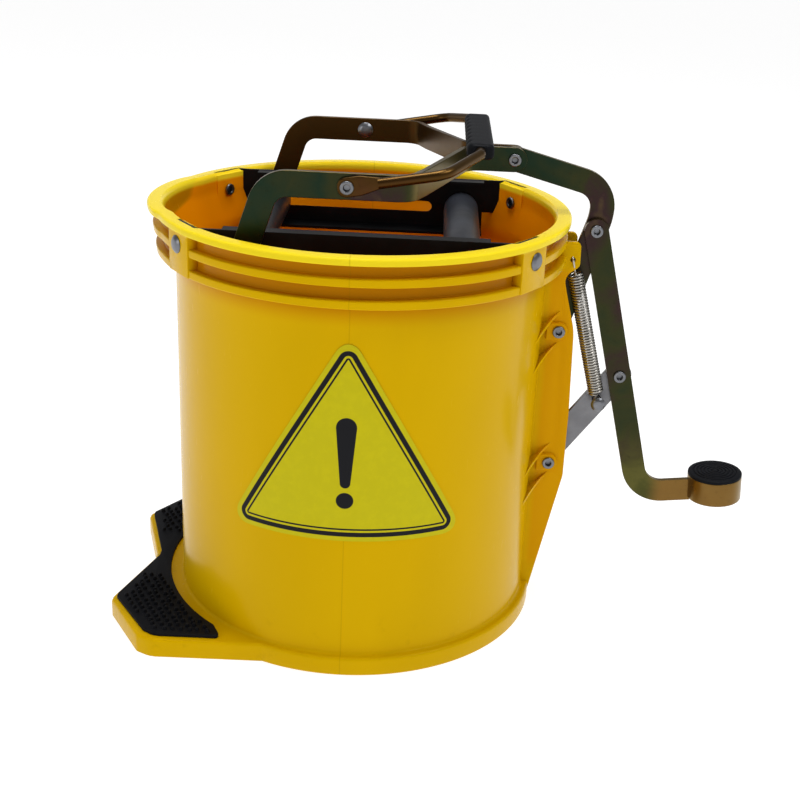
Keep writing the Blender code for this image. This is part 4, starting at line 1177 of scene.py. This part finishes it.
def arm(side, look):
    """One arm, drawn flat, drilled, then bent in plan towards the crank."""
    label = "front" if side < 0 else "rear"
    near = BAR + GAP
    bend, join = 35 * MM, 73 * MM
    start = MOVING.x - 20 * MM
    plan = [(start, side * ARM_Y), (bend, side * ARM_Y), (join, side * near),
            (ARMS.x + 20 * MM, side * near)]
    radii, steps = [14 * MM, 14 * MM], 10
    trial = bmesh.new()
    length = bend_in_plan(trial, plan, radii, steps)
    trial.free()
    flat_end = Vector((start + length - 20 * MM, 0, ARMS.z))
    centre = [MOVING.xz, (-57.5 * MM, ARM_TOP_Z), (bend + 20 * MM, ARM_TOP_Z),
              (flat_end.x - 40 * MM, ARMS.z), flat_end.xz]
    plating = finish("passivated_steel" if side < 0 else "bronzed_steel")
    obj = flat_bar(f"{label}_arm_bar", centre, BAR_WIDTH, -BAR / 2, plating,
                   [18 * MM, 40 * MM, 40 * MM], holes=(MOVING, BAIL, flat_end))
    bm = bmesh.new()
    bm.from_mesh(obj.data)
    bend_in_plan(bm, plan, radii, steps)
    bmesh.ops.recalc_face_normals(bm, faces=bm.faces)
    bm.to_mesh(obj.data)
    bm.free()
    dressed(obj, "arms", [f"{label}_arm"], look.bar_edge, 40)


class MOPBUCKET_OT_arms(bpy.types.Operator):
    """Bend the two arms that draw the moving roller"""
    bl_idname = "mopbucket.arms"
    bl_label = "Arms"

    def execute(self, context):
        for side in (-1, 1):
            arm(side, context.scene.mop_linkage)
        return {"FINISHED"}


def bail_path(grip):
    """Centre line of the handle's rod from the front eye to the rear one, bends rounded."""
    y = ARM_Y + BAR / 2 + GAP + BAIL_ROD
    eye = Vector((BAIL.x, -y, BAIL.z))
    knee = Vector((57 * MM, -y, 355.5 * MM))
    entry = Vector((grip.x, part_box("bail_grip")[0].y - 7 * MM, grip.z))
    front = [eye.lerp(knee, 0.32), knee, entry]
    corners = front + [Vector((p.x, -p.y, p.z)) for p in reversed(front)]
    path = [corners[0]]
    for a, b, c, radius in zip(corners, corners[1:], corners[2:], (16, 6.5, 6.5, 16)):
        back, ahead = (a - b).normalized(), (c - b).normalized()
        half = back.angle(ahead) / 2
        centre = b + (back + ahead).normalized() * radius * MM / math.sin(half)
        first = b + back * radius * MM / math.tan(half) - centre
        axis = back.cross(ahead).normalized()
        for k in range(11):
            spoke = first.copy()
            spoke.rotate(Matrix.Rotation(-(math.pi - 2 * half) * k / 10, 3, axis))
            path.append(centre + spoke)
    return path + [corners[-1]], eye, knee


class MOPBUCKET_OT_handle(bpy.types.Operator):
    """Bend the carrying handle's rod, flatten its ends and mould its grip"""
    bl_idname = "mopbucket.handle"
    bl_label = "Carrying handle"

    def execute(self, context):
        grip = middle("bail_grip")
        path, eye, knee = bail_path(grip)
        bail = shown("bail_bar", sweep(path, BAIL_ROD, 24), finish("bronzed_steel"))
        ahead = (knee - eye).normalized()
        across = Vector((-ahead.z, 0, ahead.x))
        eyes, bores = [], []
        for side in (-1, 1):
            inner = ARM_Y + BAR / 2 + GAP
            origin = Vector((eye.x, 0, eye.z))
            # paddle: round end, parallel flat, then shoulders that close in on the rod
            corners = [(-6.5, 6.5, 6), (9, 6.5, 8), (24, 3.2, 12), (31, 3.2), (31, -3.2),
                       (24, -3.2, 12), (9, -6.5, 8), (-6.5, -6.5, 6)]
            bm = raised(wire([(u * MM, v * MM, *(r * MM for r in rest))
                              for u, v, *rest in corners]), BAIL_EYE)
            soften(bm, 0.8 * MM, 50, 3)
            basis = Matrix((ahead, across, (0, 1, 0))).transposed().to_4x4()
            basis.translation = origin
            low = inner if side > 0 else -inner - BAIL_EYE
            moved(bm, Matrix.Translation((0, low, 0)) @ basis)
            bmesh.ops.recalc_face_normals(bm, faces=bm.faces)
            eyes.append(bm)
            bores.append(moved(rod(PIN, *sorted((side * (inner - BAR), side * (inner + 3 * BAR))),
                                   32), about_y(BAIL)))
        carve(bail, ("UNION", gathered(*eyes)), ("DIFFERENCE", gathered(*bores)))
        dressed(bail, "handle", ["bail_rod"], angle=40)

        low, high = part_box("bail_grip")
        wide, tall = (high.x - low.x) / 2, (high.z - low.z) / 2
        waves = context.scene.mop_rollers.grip_waves
        soft = 3.4 * MM
        section = wire([(wide, -tall, soft), (wide, tall, soft), (-wide, tall, soft),
                        (-wide, -tall, soft)])
        bmesh.ops.contextual_create(section, geom=section.edges[:])
        rings = 12 * waves
        length = high.y - low.y
        faces = section.faces[:]
        for i in range(rings):
            grown = bmesh.ops.extrude_face_region(section, geom=faces)["geom"]
            bmesh.ops.translate(section, vec=(0, 0, length / rings),
                                verts=only(bmesh.types.BMVert, grown))
            old = faces
            faces = [f for f in only(bmesh.types.BMFace, grown) if abs(f.normal.z) > 0.9]
            if i:
                bmesh.ops.delete(section, geom=old, context="FACES_ONLY")
        for v in section.verts:
            share = v.co.z / length
            rounding = min(share, 1 - share) * length
            shrink = 1 - 0.22 * max(0, 1 - rounding / (2.5 * MM)) ** 2
            v.co.x *= shrink
            v.co.y *= shrink
            if v.co.x < 0:
                v.co.x += (GRIP_WAVE * (1 - abs(math.sin(share * waves * math.pi)))
                           * (-v.co.x / wide))
        place = Matrix(((1, 0, 0, grip.x), (0, 0, 1, low.y), (0, 1, 0, grip.z), (0, 0, 0, 1)))
        moved(section, place)
        bmesh.ops.recalc_face_normals(section, faces=section.faces)
        sleeve = shown("grip_sleeve", section, finish("black_rubber"))
        hole = moved(rod(BAIL_ROD + 0.1 * MM, low.y - 5 * MM, high.y + 5 * MM, 24), about_y(grip))
        carve(sleeve, ("DIFFERENCE", hole))
        dressed(sleeve, "handle", ["bail_grip"], angle=45)
        return {"FINISHED"}


# -------------------------------------------------------------------- foot linkage

class MOPBUCKET_OT_linkage(bpy.types.Operator):
    """Cut and drill the bell crank, the strut and the pedal's lever"""
    bl_idname = "mopbucket.linkage"
    bl_label = "Crank, strut and lever"

    def execute(self, context):
        edge = context.scene.mop_linkage.bar_edge
        plated = finish("passivated_steel")
        crank = flat_bar("bell_crank_bar", [ARMS.xz, (173 * MM, 329 * MM), (171 * MM, 306 * MM),
                                            CRANK.xz], BAR_WIDTH, -BAR / 2, plated,
                         [20 * MM, 40 * MM], holes=(ARMS, LEVER, CRANK))
        dressed(crank, "crank", ["bell_crank"], edge, 40)
        strut = flat_bar("strut_bar", [STRUT.xz, COUPLER.xz], STRUT_WIDTH, -BAR / 2,
                         finish("zinc_steel"), holes=(STRUT, COUPLER, STUD))
        dressed(strut, "strut", ["strut"], edge, 40)
        end = (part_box("pedal_cup")[0].x + 2.2 * MM, middle("pedal_cup").z - 4 * MM)
        lever = flat_bar("pedal_lever_bar", [LEVER.xz, (220 * MM, 92.5 * MM), end], BAR_WIDTH,
                         LEVER_Y - BAR / 2, plated, [22 * MM], (True, False),
                         holes=(LEVER, COUPLER))
        dressed(lever, "lever", ["pedal_lever"], edge, 40)
        return {"FINISHED"}


class MOPBUCKET_OT_pedal(bpy.types.Operator):
    """Spin the pedal's steel cup and its ringed rubber pad"""
    bl_idname = "mopbucket.pedal"
    bl_label = "Pedal"

    def execute(self, context):
        height, outer, sheet = 19 * MM, 20.5 * MM, 2 * MM
        inner = outer - sheet
        place = (Matrix.Translation(middle("pedal_cup")) @ Matrix.Rotation(-PEDAL_TILT, 4, "Y")
                 @ Matrix.Translation((0, 0, -height / 2)))
        cup = lathe([(0, 0), (outer, 0, 1.2 * MM), (outer, height, 0.5 * MM),
                     (inner, height, 0.5 * MM), (inner, sheet, 0.8 * MM), (0, sheet)], 96)
        piece = shown("pedal_steel_cup", moved(cup, place), finish("passivated_steel"))
        dressed(piece, "lever", ["pedal_cup"])
        brim = height + GAP / 2
        plug = inner - 0.1 * MM
        rings = [(0, brim + 3 * MM)]
        for i in range(1, 7):
            radius = i * 2.7 * MM
            crown = brim + 3 * MM - 0.6 * MM * (radius / outer) ** 2
            rings += [(radius + across, level, 0.15 * MM) for across, level in (
                (-0.7 * MM, crown), (-0.35 * MM, crown - 0.7 * MM),
                (0.35 * MM, crown - 0.7 * MM), (0.7 * MM, crown))]
        pad = lathe([(0, sheet + 0.1 * MM), (plug, sheet + 0.1 * MM, 0.5 * MM), (plug, brim),
                     (outer, brim, 0.3 * MM), (outer, brim + 2.2 * MM, 1.2 * MM)]
                    + rings[::-1], 96)
        piece = shown("pedal_rubber_pad", moved(pad, place), finish("black_rubber"))
        dressed(piece, "lever", ["pedal_pad"], angle=40)
        return {"FINISHED"}


class MOPBUCKET_OT_spring(bpy.types.Operator):
    """Wind the return spring between the ear and the strut's stud"""
    bl_idname = "mopbucket.spring"
    bl_label = "Return spring"

    def execute(self, context):
        look = context.scene.mop_linkage
        wire_radius = look.wire
        coil = 5.1 * MM
        ear_y = -SPINE_INNER - SPINE_WALL / 2
        top = Vector((SPRING_EYE.x, SPRING_Y, SPRING_EYE.z))
        low = Vector((STUD.x, SPRING_Y, STUD.z))
        down = (low - top).normalized()
        across = Vector((-down.z, 0, down.x))
        out = Vector((0, 1, 0))
        hook = 3.4 * MM
        eye = Vector((SPRING_EYE.x, ear_y, SPRING_EYE.z)) + down * hook * 0.3
        points = arc_points(eye, out * hook, -down * hook, math.radians(-75), math.radians(180), 16)
        first, last = 12 * MM, (low - top).length - 9 * MM
        coil_top = top + down * first
        points += [coil_top - down * 5 * MM - out * coil * 0.75,
                   coil_top - down * 2 * MM - out * coil * 0.5]
        turns, steps = look.coils, 16
        for i in range(turns * steps + 1):
            turn = 2 * math.pi * i / steps
            share = i / (turns * steps)
            points.append(top + down * (first + (last - first) * share)
                          + (across * math.sin(turn) - out * math.cos(turn)) * coil)
        loop = 3 * MM + wire_radius + 0.2 * MM
        points += arc_points(low, -down * loop, across * loop, math.radians(-40),
                             math.radians(300), 20)
        bm = sweep(points, wire_radius, 8)
        piece = shown("return_spring_coil", bm, finish("spring_steel"))
        dressed(piece, None, ["return_spring"], angle=60)
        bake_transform(piece)
        return {"FINISHED"}


# --------------------------------------------------------------------------- stage

def lamp(name, place, target, size, power):
    data = bpy.data.lights.new(name, "AREA")
    data.shape, data.size, data.energy = "DISK", size, power
    obj = bpy.data.objects.new(name, data)
    obj.location = place
    obj.rotation_euler = (Vector(target) - Vector(place)).to_track_quat("-Z", "Y").to_euler()
    bpy.context.scene.collection.objects.link(obj)


class MOPBUCKET_OT_stage(bpy.types.Operator):
    """Lay the pale floor, hang the soft lights and set the camera"""
    bl_idname = "mopbucket.stage"
    bl_label = "Stage"

    def execute(self, context):
        scene = context.scene
        bm = bmesh.new()
        bmesh.ops.create_circle(bm, cap_ends=True, radius=FLOOR_RADIUS, segments=96)
        pale = Finish("studio_floor", roughness=0.6, specular_ior_level=0.2,
                      emission_color=(1.0, 1.0, 1.0), emission_strength=0.82)
        mottle = pale.noise(0.8, 2)
        pale.drive(base_color=pale.mix(mottle, (0.40, 0.40, 0.40), (0.43, 0.43, 0.43)))
        floor = shown("floor", moved(bm, Matrix.Translation((0, 0, -GAP))), pale.material)
        world = bpy.data.worlds.new("studio")
        scene.world = world
        world.use_nodes = True
        sky, ground = world.node_tree, world.node_tree.nodes["Background"]
        ground.inputs["Color"].default_value = (1, 1, 1, 1)
        # white at the horizon, where it meets the floor, and dimmer overhead
        heading = sky.nodes.new("ShaderNodeTexCoord")
        split = sky.nodes.new("ShaderNodeSeparateXYZ")
        fade = sky.nodes.new("ShaderNodeMapRange")
        sky.links.new(heading.outputs["Generated"], split.inputs[0])
        sky.links.new(split.outputs[2], fade.inputs[0])
        for socket, value in zip(fade.inputs[1:5], (0.0, 0.35, 1.0, 0.26)):
            socket.default_value = value
        sky.links.new(fade.outputs[0], ground.inputs["Strength"])
        heart = (0.03, 0, 0.2)
        lamp("key", (1.1, -0.5, 1.8), heart, 0.8, 12)
        lamp("fill", (-1.4, -1.2, 0.9), heart, 0.9, 5)
        lamp("top", (-0.1, 0.1, 2.2), heart, 1.0, 26)
        ahead = Vector((-math.sin(AZIMUTH) * math.cos(PITCH), math.cos(AZIMUTH) * math.cos(PITCH),
                        -math.sin(PITCH)))
        right = Vector((math.cos(AZIMUTH), math.sin(AZIMUTH), 0))
        up = right.cross(ahead)
        tilted = right * math.cos(ROLL) + up * math.sin(ROLL)
        upright = up * math.cos(ROLL) - right * math.sin(ROLL)
        data = bpy.data.cameras.new("camera")
        data.lens, data.sensor_width = LENS, 36
        camera = bpy.data.objects.new("camera", data)
        turn = Matrix((tilted, upright, -ahead)).transposed().to_4x4()
        camera.matrix_world = Matrix.Translation(EYE) @ turn
        scene.collection.objects.link(camera)
        scene.camera = camera
        scene.view_settings.view_transform = "Standard"
        return {"FINISHED"}


class MOPBUCKET_PT_panel(bpy.types.Panel):
    """Sizes, colours and pieces of the mop bucket"""
    bl_idname = "MOPBUCKET_PT_panel"
    bl_label = "Mop bucket"
    bl_space_type = "VIEW_3D"
    bl_region_type = "UI"
    bl_category = "Mop bucket"

    def draw(self, context):
        layout = self.layout
        for name in GROUPS:
            group = getattr(context.scene, name)
            box = layout.box()
            for key in group.bl_rna.properties.keys():
                if key not in ("rna_type", "name"):
                    box.prop(group, key)
        for piece in PIECES:
            layout.operator(piece.bl_idname)


GROUPS = {"mop_bucket": MOPBUCKET_PG_bucket, "mop_linkage": MOPBUCKET_PG_linkage,
          "mop_rollers": MOPBUCKET_PG_rollers}
PIECES = (MOPBUCKET_OT_bucket, MOPBUCKET_OT_tread, MOPBUCKET_OT_label, MOPBUCKET_OT_frame,
          MOPBUCKET_OT_rollers, MOPBUCKET_OT_rings, MOPBUCKET_OT_rivets, MOPBUCKET_OT_arms,
          MOPBUCKET_OT_handle, MOPBUCKET_OT_linkage, MOPBUCKET_OT_pedal, MOPBUCKET_OT_spring,
          MOPBUCKET_OT_stage)


def register():
    for cls in (*GROUPS.values(), *PIECES, MOPBUCKET_PT_panel):
        bpy.utils.register_class(cls)
    for name, group in GROUPS.items():
        setattr(bpy.types.Scene, name, PointerProperty(type=group))


def unregister():
    for name in GROUPS:
        delattr(bpy.types.Scene, name)
    for cls in reversed((*GROUPS.values(), *PIECES, MOPBUCKET_PT_panel)):
        bpy.utils.unregister_class(cls)


def main():
    register()
    for piece in PIECES:
        getattr(bpy.ops.mopbucket, piece.bl_idname.split(".")[1])()


if __name__ == "__main__":
    main()
